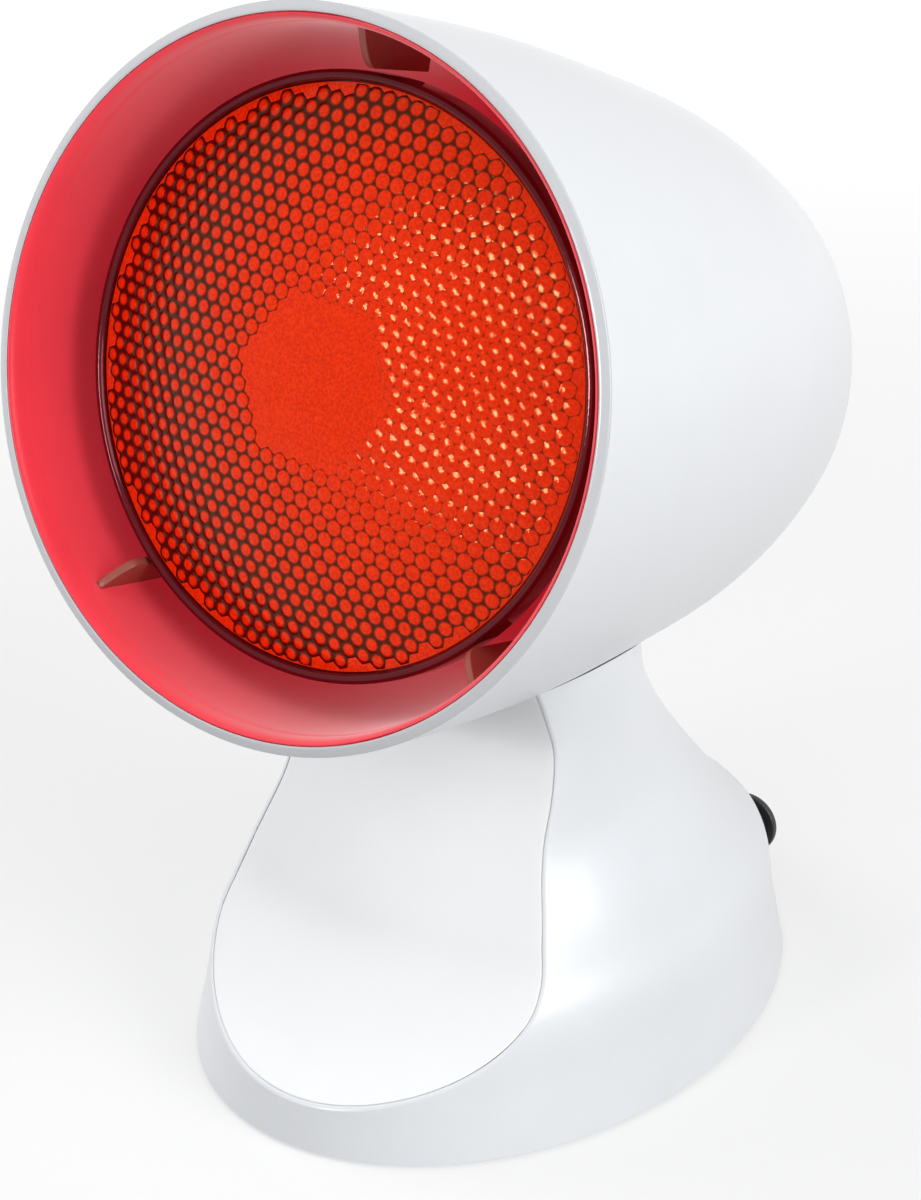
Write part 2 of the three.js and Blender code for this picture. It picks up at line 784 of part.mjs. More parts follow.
// Everything in front of the panel's outer face, shifted back by a distance
function frontSolid(shift) {
  const top = standHeight + standTopMargin;
  const positions = [];
  const index = [];
  const across = panelColumns + 1;
  const layer = across * (panelLevels + 1);
  for (const near of [false, true]) {
    for (let level = 0; level <= panelLevels; level += 1) {
      const z = (top * level) / panelLevels;
      const [centre] = panelAt(z / standHeight);
      for (let i = 0; i <= panelColumns; i += 1) {
        const x = ((2 * i) / panelColumns - 1) * standHalfWidth;
        const crown = panelCrown * (x / panelCrownWidth) ** 2;
        const face = centre * standHalfDepth + crown + shift;
        positions.push(x, near ? face : -2 * standHalfDepth, z);
      }
    }
  }
  const at = (near, level, i) => (near ? layer : 0) + level * across + i;
  const quad = (a, b, c, d) => index.push(a, b, c, a, c, d);
  for (let level = 0; level < panelLevels; level += 1) {
    for (let i = 0; i < panelColumns; i += 1) {
      quad(at(0, level, i), at(0, level, i + 1), at(0, level + 1, i + 1), at(0, level + 1, i));
      quad(at(1, level, i), at(1, level + 1, i), at(1, level + 1, i + 1), at(1, level, i + 1));
    }
    quad(at(0, level, 0), at(0, level + 1, 0), at(1, level + 1, 0), at(1, level, 0));
    const end = panelColumns;
    quad(at(0, level, end), at(1, level, end), at(1, level + 1, end), at(0, level + 1, end));
  }
  for (let i = 0; i < panelColumns; i += 1) {
    quad(at(0, 0, i), at(1, 0, i), at(1, 0, i + 1), at(0, 0, i + 1));
    const last = panelLevels;
    quad(at(0, last, i), at(0, last, i + 1), at(1, last, i + 1), at(1, last, i));
  }
  return gridSolid(positions, index);
}

const headPaths = [0, tiltRange / 2, tiltRange].map((tilt) => headInWorld(headSolid(runningGap), tilt));

function coverTop() {
  return padThickness + gap + coverThickness;
}

function coverCorners() {
  return [[-1, -1], [1, -1], [-1, 1], [1, 1]].map(([x, y]) => [x * coverScrewX, y * coverScrewY]);
}

function standHousing() {
  const outside = standSolid(0, skirtLift);
  const cavity = standSolid(standWall, -overrun)
    .subtract(headInWorld(headSolid(runningGap + standWall)))
    .subtract(frontSolid(panelThickness + gap + standWall));
  let shell = outside.subtract(cavity);
  const inserts = coverCorners().map(([x, y]) => rodZ(
    coverBossRadius, x, y, coverTop() + gap, standHeight,
  ));
  inserts.push(block(
    -seatHalfWidth, seatHalfWidth, yokeWebFrontY, standHalfDepth,
    yokeWebBottom - gap - seatThickness, yokeWebBottom - gap,
  ));
  inserts.push(block(
    -switchPadHalfWidth, switchPadHalfWidth, switchPadFrontY, standHalfDepth + overrun,
    coverTop() + gap, switchPadTopZ,
  ));
  inserts.push(rodY(glandSeatRadius, glandX, glandSeatY - glandSeatDepth, standHalfDepth, glandZ));
  shell = shell.add(join(inserts).intersect(outside));
  // Window behind the front panel, with a ledge that carries the panel
  const window = standSolid(3 * standWall, -overrun)
    .subtract(headInWorld(headSolid(runningGap + standWall)))
    .intersect(frontSolid(panelThickness + gap + 2 * standWall))
    .subtract(block(
      -standHalfWidth, standHalfWidth, -2 * standHalfDepth, 0, -overrun, panelFoot() + 3 * standWall,
    ));
  shell = shell.subtract(window);
  const rebate = standSolid(panelLand, skirtLift - overrun)
    .intersect(frontSolid(panelThickness + gap))
    .subtract(block(-standHalfWidth, standHalfWidth, -2 * standHalfDepth, 0, -2 * overrun, coverTop()));
  shell = shell.subtract(rebate);
  shell = shell.subtract(frontSolid(0));
  headPaths.forEach((path) => {
    shell = shell.subtract(path);
  });
  shell = shell.subtract(block(
    -notchHalfWidth, notchHalfWidth, notchFrontY, standHalfDepth,
    notchBottomZ, standHeight + 2 * standTopMargin,
  ));
  coverCorners().forEach(([x, y]) => {
    shell = shell.subtract(rodZ(screwShaftRadius + gap, x, y, 0, coverScrewTop() + gap, screwFacets));
  });
  yokeScrewPlaces().forEach((y) => {
    shell = shell.subtract(rodZ(
      screwShaftRadius + gap, 0, y, yokeWebBottom - seatThickness - overrun, standHeight, screwFacets,
    ));
  });
  const pocketX = bezelHalfWidth + gap;
  const pocketZ = bezelHalfHeight + gap;
  const far = standHalfDepth + overrun;
  shell = shell.subtract(block(
    -pocketX, pocketX, bezelSeatY, far, switchZ - pocketZ, switchZ + pocketZ,
  ));
  const holeX = switchHalfWidth + gap;
  const holeZ = switchHalfHeight + gap;
  shell = shell.subtract(block(
    -holeX, holeX, switchPadFrontY - overrun, far, switchZ - holeZ, switchZ + holeZ,
  ));
  shell = shell.subtract(rodY(glandSeatRadius, glandX, glandSeatY, far, glandZ));
  return shell.subtract(rodY(
    glandBodyRadius + gap, glandX, glandSeatY - glandSeatDepth - overrun, far, glandZ,
  ));
}

// Height at which the panel's centre line meets the skirt
function panelFoot() {
  return panelShares[1][0] * standHeight;
}

function frontPanel() {
  let panel = standSolid(panelLand + gap, -overrun).intersect(frontSolid(panelThickness));
  panel = panel.subtract(frontSolid(0));
  panel = panel.subtract(block(
    -standHalfWidth, standHalfWidth, -2 * standHalfDepth, 0, -2 * overrun, coverTop() + gap,
  ));
  headPaths.forEach((path) => {
    panel = panel.subtract(path);
  });
  return panel;
}

function coverScrewTop() {
  return coverTop() + 2 * coverBossRadius;
}

function bottomCover() {
  const [width, depth] = standAt(coverTop() / standHeight);
  const inset = standWall + gap;
  const z0 = padThickness + gap;
  let cover = ovalPlate(
    width * standHalfWidth - inset, depth * standHalfDepth - inset, 0, z0, coverTop(),
  );
  cover = cover.add(block(
    glandX - clampHalfWidth, glandX + clampHalfWidth, clampY - clampHalfDepth, clampY + clampHalfDepth,
    z0 + coverThickness / 2, coverTop() + clampPadHeight,
  ));
  coverCorners().forEach(([x, y]) => {
    cover = cover.subtract(rodZ(screwShaftRadius + gap, x, y, 0, coverTop() + overrun, screwFacets));
  });
  [-1, 1].forEach((side) => {
    cover = cover.subtract(rodZ(
      smallScrewShaftRadius + gap, glandX + side * clampScrewX, clampY, 0, standHeight, screwFacets,
    ));
    cover = cover.subtract(rodZ(
      smallScrewShaftRadius + gap, 0, ballastY + side * ballastScrewY, 0, coverTop() + overrun, screwFacets,
    ));
  });
  return cover;
}

function coverScrew(x, y) {
  const seat = padThickness;
  const head = rodZ(screwHeadRadius, x, y, seat - screwHeadHeight / 2, seat, screwFacets);
  return head.add(rodZ(
    screwShaftRadius, x, y, seat - screwHeadHeight / 4, coverScrewTop() - gap, screwFacets,
  ));
}

function ballastPlate() {
  const z0 = coverTop() + gap;
  let plate = ovalPlate(ballastHalfWidth, ballastHalfDepth, ballastY, z0, z0 + ballastThickness);
  [-1, 1].forEach((side) => {
    plate = plate.subtract(rodZ(
      smallScrewShaftRadius + gap, 0, ballastY + side * ballastScrewY, 0, standHeight, screwFacets,
    ));
  });
  return plate;
}

function ballastScrew(side) {
  const seat = coverTop() + gap + ballastThickness + gap;
  return screwZ(
    0, ballastY + side * ballastScrewY, seat, ballastThickness + coverThickness,
    smallScrewHeadRadius, smallScrewHeadHeight, smallScrewShaftRadius,
  );
}

// Tilt hinge
function yokeScrewPlaces() {
  return [-1, 1].map((side) => hingeY + side * yokeScrewReach);
}

function hingeYoke() {
  const ear = new THREE.Shape();
  ear.moveTo(hingeY - earRadius, yokeWebBottom);
  ear.lineTo(hingeY + earRadius, yokeWebBottom);
  ear.lineTo(hingeY + earRadius, hingeZ);
  ear.absarc(hingeY, hingeZ, earRadius, 0, Math.PI, false);
  const outer = earInner + earThickness;
  const web = block(
    -outer, outer, yokeWebFrontY, yokeWebBackY, yokeWebBottom, yokeWebBottom + yokeWebThickness,
  );
  let yoke = join([web, sidePlate(ear, earInner, outer), sidePlate(ear, -outer, -earInner)]);
  yoke = yoke.subtract(rodX(pinRadius + pinClearance, -outer - overrun, outer + overrun, hingeY, hingeZ));
  yokeScrewPlaces().forEach((y) => {
    yoke = yoke.subtract(rodZ(screwShaftRadius + gap, 0, y, 0, standHeight, screwFacets));
  });
  return yoke;
}

function yokeScrew(y) {
  return screwZ(
    0, y, yokeWebBottom + yokeWebThickness + gap, yokeWebThickness + seatThickness,
    screwHeadRadius, screwHeadHeight, screwShaftRadius,
  );
}

function washer(x0, x1, radius) {
  const bore = rodX(pinRadius + gap, x0 - overrun, x1 + overrun, hingeY, hingeZ);
  return rodX(radius, x0, x1, hingeY, hingeZ).subtract(bore);
}

function washerSeat() {
  return earInner + earThickness + gap;
}

function hingePin() {
  const seat = washerSeat() + washerThickness + gap;
  const end = seat + nutHeight + pinOverhang;
  return rodX(pinRadius, -seat - pinHeadHeight / 2, end, hingeY, hingeZ)
    .add(rodX(pinHeadRadius, -seat - pinHeadHeight, -seat, hingeY, hingeZ));
}

function hingeNut() {
  const seat = washerSeat() + washerThickness + gap;
  const bore = rodX(pinRadius + gap, 0, 2 * seat + nutHeight, hingeY, hingeZ);
  return rodX(nutRadius, seat, seat + nutHeight, hingeY, hingeZ, nutFacets).subtract(bore);
}

function tiltArm() {
  const outline = polygon([
    [hingeY - knuckleRadius, hingeZ], [hingeY - knuckleRadius, armTopZ], [armFlangeEndY, armTopZ],
    [armFlangeEndY, armFlangeEndZ], [armFlangeMidY, armFlangeMidZ], [hingeY + knuckleRadius, hingeZ],
  ]);
  let arm = sidePlate(outline, -armHalfWidth, armHalfWidth);
  arm = arm.add(rodX(knuckleRadius, -armHalfWidth, armHalfWidth, hingeY, hingeZ));
  arm = arm.subtract(headInWorld(headSolid(gap)));
  arm = arm.subtract(rodX(
    pinRadius + pinClearance, -2 * armHalfWidth, 2 * armHalfWidth, hingeY, hingeZ,
  ));
  [-1, 1].forEach((side) => {
    arm = arm.subtract(rodZ(
      screwShaftRadius + gap, side * armScrewX, armScrewY, armFlangeMidZ - overrun, standHeight, screwFacets,
    ));
  });
  return arm;
}

function indexPlate() {
  const x0 = armHalfWidth + gap;
  const shape = new THREE.Shape();
  shape.absarc(hingeY, hingeZ, indexRadius, Math.PI + indexDip, 2 * Math.PI - indexDip, false);
  shape.absarc(hingeY, hingeZ, earRadius, -indexDip / 2, Math.PI + indexDip / 2, false);
  let plate = sidePlate(shape, x0, x0 + indexThickness);
  plate = plate.subtract(rodX(pinRadius + gap, x0 - overrun, x0 + overrun, hingeY, hingeZ));
  for (let i = 0; i < indexStops; i += 1) {
    const turn = -Math.PI / 2 + i * indexStep;
    plate = plate.subtract(rodX(
      indexNotchRadius, x0 - overrun, x0 + overrun,
      hingeY + indexRadius * Math.cos(turn), hingeZ + indexRadius * Math.sin(turn), notchFacets,
    ));
  }
  return plate;
}

function indexSpring() {
  const low = yokeWebBottom + yokeWebThickness + gap;
  const peak = hingeZ - indexRadius - gap;
  const t = springThickness;
  const half = springHalfLength;
  const foot = hingeY - half - springFootLength;
  const x0 = armHalfWidth + gap;
  const outline = polygon([
    [foot, low], [hingeY - half, low], [hingeY - springBump, peak - springBump], [hingeY, peak - t],
    [hingeY + springBump, peak - springBump], [hingeY + half, low + t],
    [hingeY + half, low + 2 * t], [hingeY + springBump, peak - springBump + t], [hingeY, peak],
    [hingeY - springBump, peak - springBump + t], [hingeY - half, low + t], [foot, low + t],
  ]);
  return sidePlate(outline, x0, x0 + indexThickness);
}

// Switch
function switchBody() {
  const front = bezelSeatY + gap;
  let body = block(
    -bezelHalfWidth, bezelHalfWidth, front, front + bezelThickness,
    switchZ - bezelHalfHeight, switchZ + bezelHalfHeight,
  );
  body = body.add(block(
    -switchHalfWidth, switchHalfWidth, front - switchDepth, front + bezelThickness / 2,
    switchZ - switchHalfHeight, switchZ + switchHalfHeight,
  ));
  body = body.subtract(block(
    -rockerCavityHalfWidth, rockerCavityHalfWidth, rockerPivotY - rockerCavityDepth, standHalfDepth,
    switchZ - rockerCavityHalfHeight, switchZ + rockerCavityHalfHeight,
  ));
  const hole = rockerAxleHalfLength + gap;
  return body.subtract(rodZ(
    rockerAxleRadius + gap, 0, rockerPivotY, switchZ - hole, switchZ + hole, screwFacets,
  ));
}

function rocker() {
  const outline = polygon([
    [-rockerHalfWidth, rockerCrown], [0, rockerDish], [rockerHalfWidth, rockerCrown],
    [rockerHalfWidth, -rockerEdge], [rockerFootHalfWidth, -rockerFoot],
    [-rockerFootHalfWidth, -rockerFoot], [-rockerHalfWidth, -rockerEdge],
  ]);
  const body = new THREE.ExtrudeGeometry(outline, { depth: 2 * rockerHalfHeight, bevelEnabled: false });
  let paddle = solid(body.translate(0, 0, -rockerHalfHeight));
  paddle = paddle.add(rodZ(
    rockerAxleRadius, 0, 0, -rockerAxleHalfLength, rockerAxleHalfLength, screwFacets,
  ));
  const place = new THREE.Matrix4()
    .makeTranslation(0, rockerPivotY, switchZ)
    .multiply(new THREE.Matrix4().makeRotationZ(-rockerThrow / 2));
  return solid(toGeometry(paddle).applyMatrix4(place));
}

// Gland and clamp
function cableGland() {
  const seat = glandSeatY + gap;
  const body = rodY(glandBodyRadius, glandX, seat - glandLength, seat + glandFlangeThickness / 2, glandZ);
  const flange = rodY(glandFlangeRadius, glandX, seat, seat + glandFlangeThickness, glandZ);
  const bore = rodY(glandBore, glandX, seat - 2 * glandLength, standHalfDepth + overrun, glandZ);
  return body.add(flange).subtract(bore);
}

function glandNut() {
  const back = glandSeatY - glandSeatDepth - gap;
  const bore = rodY(glandBodyRadius + gap, glandX, 0, standHalfDepth, glandZ);
  return rodY(glandNutRadius, glandX, back - glandNutHeight, back, glandZ, nutFacets).subtract(bore);
}

function cordClamp() {
  const z0 = coverTop() + clampPadHeight + gap;
  let bar = block(
    glandX - clampHalfWidth, glandX + clampHalfWidth, clampY - clampHalfDepth, clampY + clampHalfDepth,
    z0, z0 + clampBarHeight,
  );
  bar = bar.subtract(rodY(
    clampGroove, glandX, clampY - 2 * clampHalfDepth, clampY + 2 * clampHalfDepth, z0,
  ));
  [-1, 1].forEach((side) => {
    bar = bar.subtract(rodZ(
      smallScrewShaftRadius + gap, glandX + side * clampScrewX, clampY, 0, standHeight, screwFacets,
    ));
  });
  return bar;
}

function clampScrew(side) {
  const seat = coverTop() + clampPadHeight + gap + clampBarHeight + gap;
  return screwZ(
    glandX + side * clampScrewX, clampY, seat, clampBarHeight + clampPadHeight,
    smallScrewHeadRadius, smallScrewHeadHeight, smallScrewShaftRadius,
  );
}

function terminalBlock() {
  const z0 = coverTop() + gap;
  let body = block(
    terminalX - terminalHalfWidth, terminalX + terminalHalfWidth,
    terminalY - terminalHalfDepth, terminalY + terminalHalfDepth, z0, z0 + terminalHeight,
  );
  [-1, 1].forEach((side) => {
    body = body.subtract(rodZ(
      terminalHoleRadius, terminalX + (side * terminalHolePitch) / 2, terminalY,
      z0 + terminalHeight / 2, z0 + terminalHeight + overrun, screwFacets,
    ));
  });
  return body;
}

// Leads
function standLead() {
  const back = terminalY - terminalHalfDepth - gap;
  const low = coverTop() + gap + terminalHeight * terminalLeadShare;
  const points = standLeadShares.map(([x, y, z]) => [
    x * terminalX, leadY + y * (back - leadY), low + z * (leadTopZ - low),
  ]);
  return tube(points, leadRadius, leadFacets, leadSteps);
}

// In the head's frame: in through the shell, along its wall and up to the side of the socket
function headLead() {
  const entry = new THREE.Vector3(0, leadY, leadTopZ + gap).applyMatrix4(toHead.clone().invert());
  const end = socketBack - leadSocketStep;
  const points = [[0, entry.y, entry.z]];
  for (let s = entry.y; s < end - leadBend; s += 2 * leadBend) {
    points.push([0, s, -(shellRadiusAt(s) - shellWall - leadShellGap - leadRadius)]);
  }
  points.push([0, end, -socketRadius - leadBend], [0, end, -socketRadius - gap]);
  return tube(points, leadRadius, leadFacets, leadSteps);
}

// Assembly
function piece(name, shape, look) {
  const mesh = new THREE.Mesh(toGeometry(shape), new THREE.MeshStandardMaterial(look));
  mesh.name = name;
  return mesh;
}

function buildStand() {
  const stand = new THREE.Group();
  stand.add(piece('stand_housing', standHousing(), glossWhite));
  stand.add(piece('front_panel', frontPanel(), glossWhite));
  stand.add(piece('bottom_cover', bottomCover(), darkPlastic));
  stand.add(piece('ballast_plate', ballastPlate(), steel));
  stand.add(piece('anti_slip_pad', ovalPlate(padHalfWidth, padHalfDepth, 0, 0, padThickness), rubber));
  coverCorners().forEach(([x, y], i) => stand.add(piece(`cover_screw_${i + 1}`, coverScrew(x, y), steel)));
  [-1, 1].forEach((side, i) => {
    stand.add(piece(`ballast_screw_${i + 1}`, ballastScrew(side), steel));
    stand.add(piece(`clamp_screw_${i + 1}`, clampScrew(side), steel));
  });
  stand.add(piece('hinge_yoke', hingeYoke(), steel));
  yokeScrewPlaces().forEach((y, i) => stand.add(piece(`yoke_screw_${i + 1}`, yokeScrew(y), steel)));
  stand.add(piece('hinge_pin', hingePin(), steel));
  const seat = washerSeat();
  stand.add(piece('hinge_washer_left', washer(-seat - washerThickness, -seat, earRadius), steel));
  stand.add(piece('hinge_washer_right', washer(seat, seat + washerThickness, earRadius), steel));
  stand.add(piece('hinge_nut', hingeNut(), steel));
  stand.add(piece('friction_washer_left', washer(gap - earInner, -armHalfWidth - gap, earRadius), brass));
  const plateEnd = armHalfWidth + gap + indexThickness + gap;
  stand.add(piece('friction_washer_right', washer(plateEnd, earInner - gap, earRadius), brass));
  stand.add(piece('index_spring', indexSpring(), steel));
  stand.add(piece('switch_body', switchBody(), darkPlastic));
  stand.add(piece('cable_gland', cableGland(), darkPlastic));
  stand.add(piece('gland_nut', glandNut(), darkPlastic));
  stand.add(piece('cord_clamp', cordClamp(), darkPlastic));
  stand.add(piece('terminal_block', terminalBlock(), insulation));
  stand.add(piece('stand_lead', standLead(), insulation));
  return stand;
}

function buildBulb() {
  const bulb = new THREE.Group();
  bulb.add(piece('bulb_lens', bulbLens(), lensRed));
  bulb.add(piece('bulb_reflector', bulbReflector(), glassRed));
  bulb.add(piece('screw_cap', screwCap(), brass));
  bulb.add(piece('filament_stem', filamentStem(), insulation));
  bulb.add(piece('filament', filament(), steel));
  bulb.add(piece('bulb_tip', bulbTip(), darkPlastic));
  return bulb;
}

function buildHead() {
  const head = new THREE.Group();
  head.position.set(0, rimCentreY, rimCentreZ);
  head.rotation.x = -headTilt;
  head.add(piece('head_shell', headShell(), glossWhite));
  head.add(piece('rim_ring', rimRing(), glossWhite));
  head.add(piece('inner_shade', innerShade(), shadeRed));
  head.add(piece('vent_cap', ventCap(), glossWhite));
  head.add(piece('lamp_socket', lampSocket(), ceramic));
  head.add(piece('socket_sleeve', socketSleeve(), brass));
  head.add(piece('socket_contact', socketContact(), brass));
  head.add(piece('socket_bracket', socketBracket(), steel));
  [-1, 1].forEach((side, i) => {
    head.add(piece(`bracket_screw_${i + 1}`, bracketScrew(side), steel));
    head.add(piece(`socket_screw_${i + 1}`, socketScrew(side), steel));
  });
  head.add(piece('head_lead', headLead(), insulation));
  head.add(buildBulb());
  return head;
}

function buildTiltArm() {
  const arm = new THREE.Group();
  arm.add(piece('tilt_arm', tiltArm(), steel));
  arm.add(piece('index_plate', indexPlate(), steel));
  armScrews().forEach((shape, i) => arm.add(piece(`arm_screw_${i + 1}`, shape, steel)));
  return arm;
}

const lamp = new THREE.Group();
lamp.add(buildStand());
lamp.add(buildHead());
lamp.add(buildTiltArm());
lamp.add(piece('rocker', rocker(), darkPlastic));

export default lamp;
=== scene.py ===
# %% [markdown]
# An infrared heat therapy lamp: a round white head with a red reflector bulb, tilting on an oval table stand.
# The solids that were designed come in first as a fixed frame. Everything made here goes on top
# of them, in metres, in the same place. The frame's box is kept, to compare with at the end.

# %% Load the frame
import math
from bisect import bisect_right

import bmesh
import bpy
from mathutils import Matrix, Vector


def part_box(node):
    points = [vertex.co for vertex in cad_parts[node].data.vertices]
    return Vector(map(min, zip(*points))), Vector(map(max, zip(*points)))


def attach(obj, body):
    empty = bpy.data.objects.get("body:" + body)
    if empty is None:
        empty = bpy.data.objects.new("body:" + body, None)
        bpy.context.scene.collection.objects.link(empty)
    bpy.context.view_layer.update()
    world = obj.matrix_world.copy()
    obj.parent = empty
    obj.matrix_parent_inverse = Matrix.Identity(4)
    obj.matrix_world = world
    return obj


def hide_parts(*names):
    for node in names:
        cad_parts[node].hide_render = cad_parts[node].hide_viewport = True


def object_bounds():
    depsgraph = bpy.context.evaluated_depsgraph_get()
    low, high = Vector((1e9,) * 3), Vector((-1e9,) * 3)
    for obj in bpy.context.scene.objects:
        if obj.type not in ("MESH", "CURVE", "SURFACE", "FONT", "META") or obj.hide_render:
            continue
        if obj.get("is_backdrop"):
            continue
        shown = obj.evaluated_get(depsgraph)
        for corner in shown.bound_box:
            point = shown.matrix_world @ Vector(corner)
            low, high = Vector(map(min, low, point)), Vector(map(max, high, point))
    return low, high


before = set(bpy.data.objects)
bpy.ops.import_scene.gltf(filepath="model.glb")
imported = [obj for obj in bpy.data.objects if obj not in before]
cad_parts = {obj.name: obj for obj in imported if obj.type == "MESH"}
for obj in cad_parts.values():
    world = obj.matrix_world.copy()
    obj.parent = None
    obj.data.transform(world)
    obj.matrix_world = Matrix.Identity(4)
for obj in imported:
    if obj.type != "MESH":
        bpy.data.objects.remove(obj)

FRAME_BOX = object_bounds()

# %% [markdown]
# The camera comes first, so that every later step can be looked at from where the photograph was taken. It
# was found from ellipses whose real shape is known: the rim, the bulb's ring and the foot of the stand. A
# camera could be set by its place and three turns. Here it looks at a target from an azimuth and an elevation,
# because those can be read and changed one at a time.

# %% Camera
TARGET = Vector((0, -0.01443, 0.10356))
AZIMUTH = math.radians(35.178)
ELEVATION = math.radians(26.17)
DISTANCE = 0.70194
LENS = 97.68


def link(thing):
    bpy.context.scene.collection.objects.link(thing)
    return thing


def towards(azimuth, elevation):
    flat = math.cos(elevation)
    return Vector((math.sin(azimuth) * flat, -math.cos(azimuth) * flat, math.sin(elevation)))


def aim(thing, place, target):
    thing.location = place
    thing.rotation_euler = (target - place).to_track_quat("-Z", "Y").to_euler()
    return link(thing)


camera = bpy.data.objects.new("camera", bpy.data.cameras.new("camera"))
camera.data.lens = LENS
aim(camera, TARGET + towards(AZIMUTH, ELEVATION) * DISTANCE, TARGET)
bpy.context.scene.camera = camera
bpy.context.scene.view_settings.view_transform = "Standard"
print("camera at", [round(c, 3) for c in camera.location])

# %% [markdown]
# Finishes and repeated shapes are both written as node trees, so a small writer comes first. Put adds a node
# and feeds its inputs: a value is set, a socket is linked, and a list is linked one by one. A kind of node is
# named without its family, and an input's name has _ for a space, or is i0, i1 and so on.


# %% A writer for node trees
class Tree:
    def __init__(self, tree, *families):
        self.nodes, self.links = tree.nodes, tree.links
        self.families = families or ("ShaderNode",)

    def feed(self, node, **inputs):
        for key, value in inputs.items():
            socket = node.inputs[int(key[1:]) if key[1:].isdigit() else key.replace("_", " ")]
            for item in value if isinstance(value, list) else [value]:
                if isinstance(item, bpy.types.NodeSocket):
                    self.links.new(item, socket)
                else:
                    socket.default_value = item

    def put(self, kind, out=0, settings=None, **inputs):
        """Adds a node and returns one of its outputs, or all of them where out is None."""
        family = next(f for f in self.families if hasattr(bpy.types, f + kind))
        node = self.nodes.new(family + kind)
        for key, value in (settings or {}).items():
            setattr(node, key, value)
        self.feed(node, **inputs)
        return node.outputs if out is None else node.outputs[out]

    def sums(self, operation, a, b=0.0):
        return self.put("Math", settings={"operation": operation}, i0=a, i1=b)

    def times(self, a, b):
        return self.sums("MULTIPLY", a, b)

    def over(self, a, b):
        return self.sums("DIVIDE", a, b)

    def minus(self, a, b):
        return self.sums("SUBTRACT", a, b)

    def measure(self, operation, a, b=(0, 0, 0)):
        """A length, distance or dot product of vectors."""
        return self.put("VectorMath", "Value", {"operation": operation}, i0=a, i1=b)


# %% [markdown]
# The studio is plain: a pale floor, a white surround and soft area lamps. Light Path tells a shader which
# kind of ray has arrived. Rays of the camera and rays in glass or polish see white, while the light that
# falls on the lamp itself stays at a level where a colour looks as it was written. More light would make the
# background white too, but it would bleach the white shell.

# %% Surround and floor
SURROUND_LIGHT = 0.17
FLOOR_HALF = 4
FLOOR_GREY = 0.32
FLOOR_LIFT = 0.63
FLOOR_NEAR, FLOOR_FAR = 0.2, 1.2


def seen_directly(tree):
    """1 for rays of the camera, of polish and of glass, else 0."""
    path = tree.put("LightPath", None)
    either = path["Is Camera Ray"]
    for ray in ("Is Glossy Ray", "Is Transmission Ray"):
        either = tree.sums("MAXIMUM", either, path[ray])
    return either


world = bpy.data.worlds.new("studio")
bpy.context.scene.world = world
world.use_nodes = True
sky = Tree(world.node_tree)
level = sky.put("MapRange", "Result", Value=seen_directly(sky), To_Min=SURROUND_LIGHT, To_Max=1)
sky.feed(sky.nodes["Background"], Color=(1, 1, 1, 1), Strength=level)


def floor_finish():
    finish = bpy.data.materials.new("studio_floor")
    finish.use_nodes = True
    tree = Tree(finish.node_tree)
    tree.nodes.clear()
    away = tree.measure("LENGTH", tree.put("TexCoord", "Object"))
    far = tree.put(
        "MapRange", "Result", {"interpolation_type": "SMOOTHSTEP"}, Value=away, From_Min=FLOOR_NEAR,
        From_Max=FLOOR_FAR, To_Min=FLOOR_LIFT, To_Max=1,
    )
    matt = tree.put("BsdfDiffuse", Color=(FLOOR_GREY, FLOOR_GREY, FLOOR_GREY, 1))
    lift = tree.put("Emission", Strength=tree.times(seen_directly(tree), far))
    tree.put("OutputMaterial", None, Surface=tree.put("AddShader", i0=matt, i1=lift))
    return finish


floor_mesh = bpy.data.meshes.new("floor")
edges = [(-1, -1), (1, -1), (1, 1), (-1, 1)]
floor_mesh.from_pydata([(x * FLOOR_HALF, y * FLOOR_HALF, 0) for x, y in edges], [], [(0, 1, 2, 3)])
floor_mesh.materials.append(floor_finish())
link(bpy.data.objects.new("floor", floor_mesh))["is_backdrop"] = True
print("floor", 2 * FLOOR_HALF, "m wide")

# %% [markdown]
# Four soft boxes light the lamp. The small one in front is what the little lenses of the bulb mirror as
# bright dashes, so its place was worked out from where those dashes lie in the photograph. Large ones at both
# sides and above give the white shell its soft modelling. Polish and glass don't mirror those on the left and
# above, because the left of the bulb's glass stays dark in the photograph.

# %% Soft boxes
LENS_MIDDLE = Vector((0, -0.065, 0.171))
LARGE_BOX = (1.5, 1.2, 1.2)


def soft_box(name, azimuth, elevation, distance, width, height, watts, roll=0, mirrored=True):
    """A lamp that faces the lens. Glass and gloss show it only where it is mirrored."""
    lamp = bpy.data.lights.new(name, "AREA")
    lamp.shape, lamp.size, lamp.size_y, lamp.energy = "RECTANGLE", width, height, watts
    place = LENS_MIDDLE + towards(math.radians(azimuth), math.radians(elevation)) * distance
    box = aim(bpy.data.objects.new(name, lamp), place, LENS_MIDDLE)
    box.rotation_euler.rotate_axis("Z", math.radians(roll))
    box.visible_glossy = mirrored


soft_box("front_box", -12, 13, 1.3, 0.13, 0.28, 5.2, roll=55)
soft_box("right_box", 88, 24, *LARGE_BOX, 21)
soft_box("left_box", -88, 26, *LARGE_BOX, 13, mirrored=False)
soft_box("top_box", 0, 78, *LARGE_BOX, 5.6, mirrored=False)

# %% [markdown]
# Finishes come next. Each is one Principled shader whose colour and roughness drift a little over the surface
# and whose bump gives the fine unevenness that moulding, glazing or rolling leaves. The pattern is read from
# object coordinates, which are metres here, so a scale of 400 makes cells of 2.5 mm.

# %% A finish with a drifting colour and a fine grain
COAT_ROUGHNESS = 0.15
ROUGHNESS_DRIFT = 0.15
FINISHES = {}


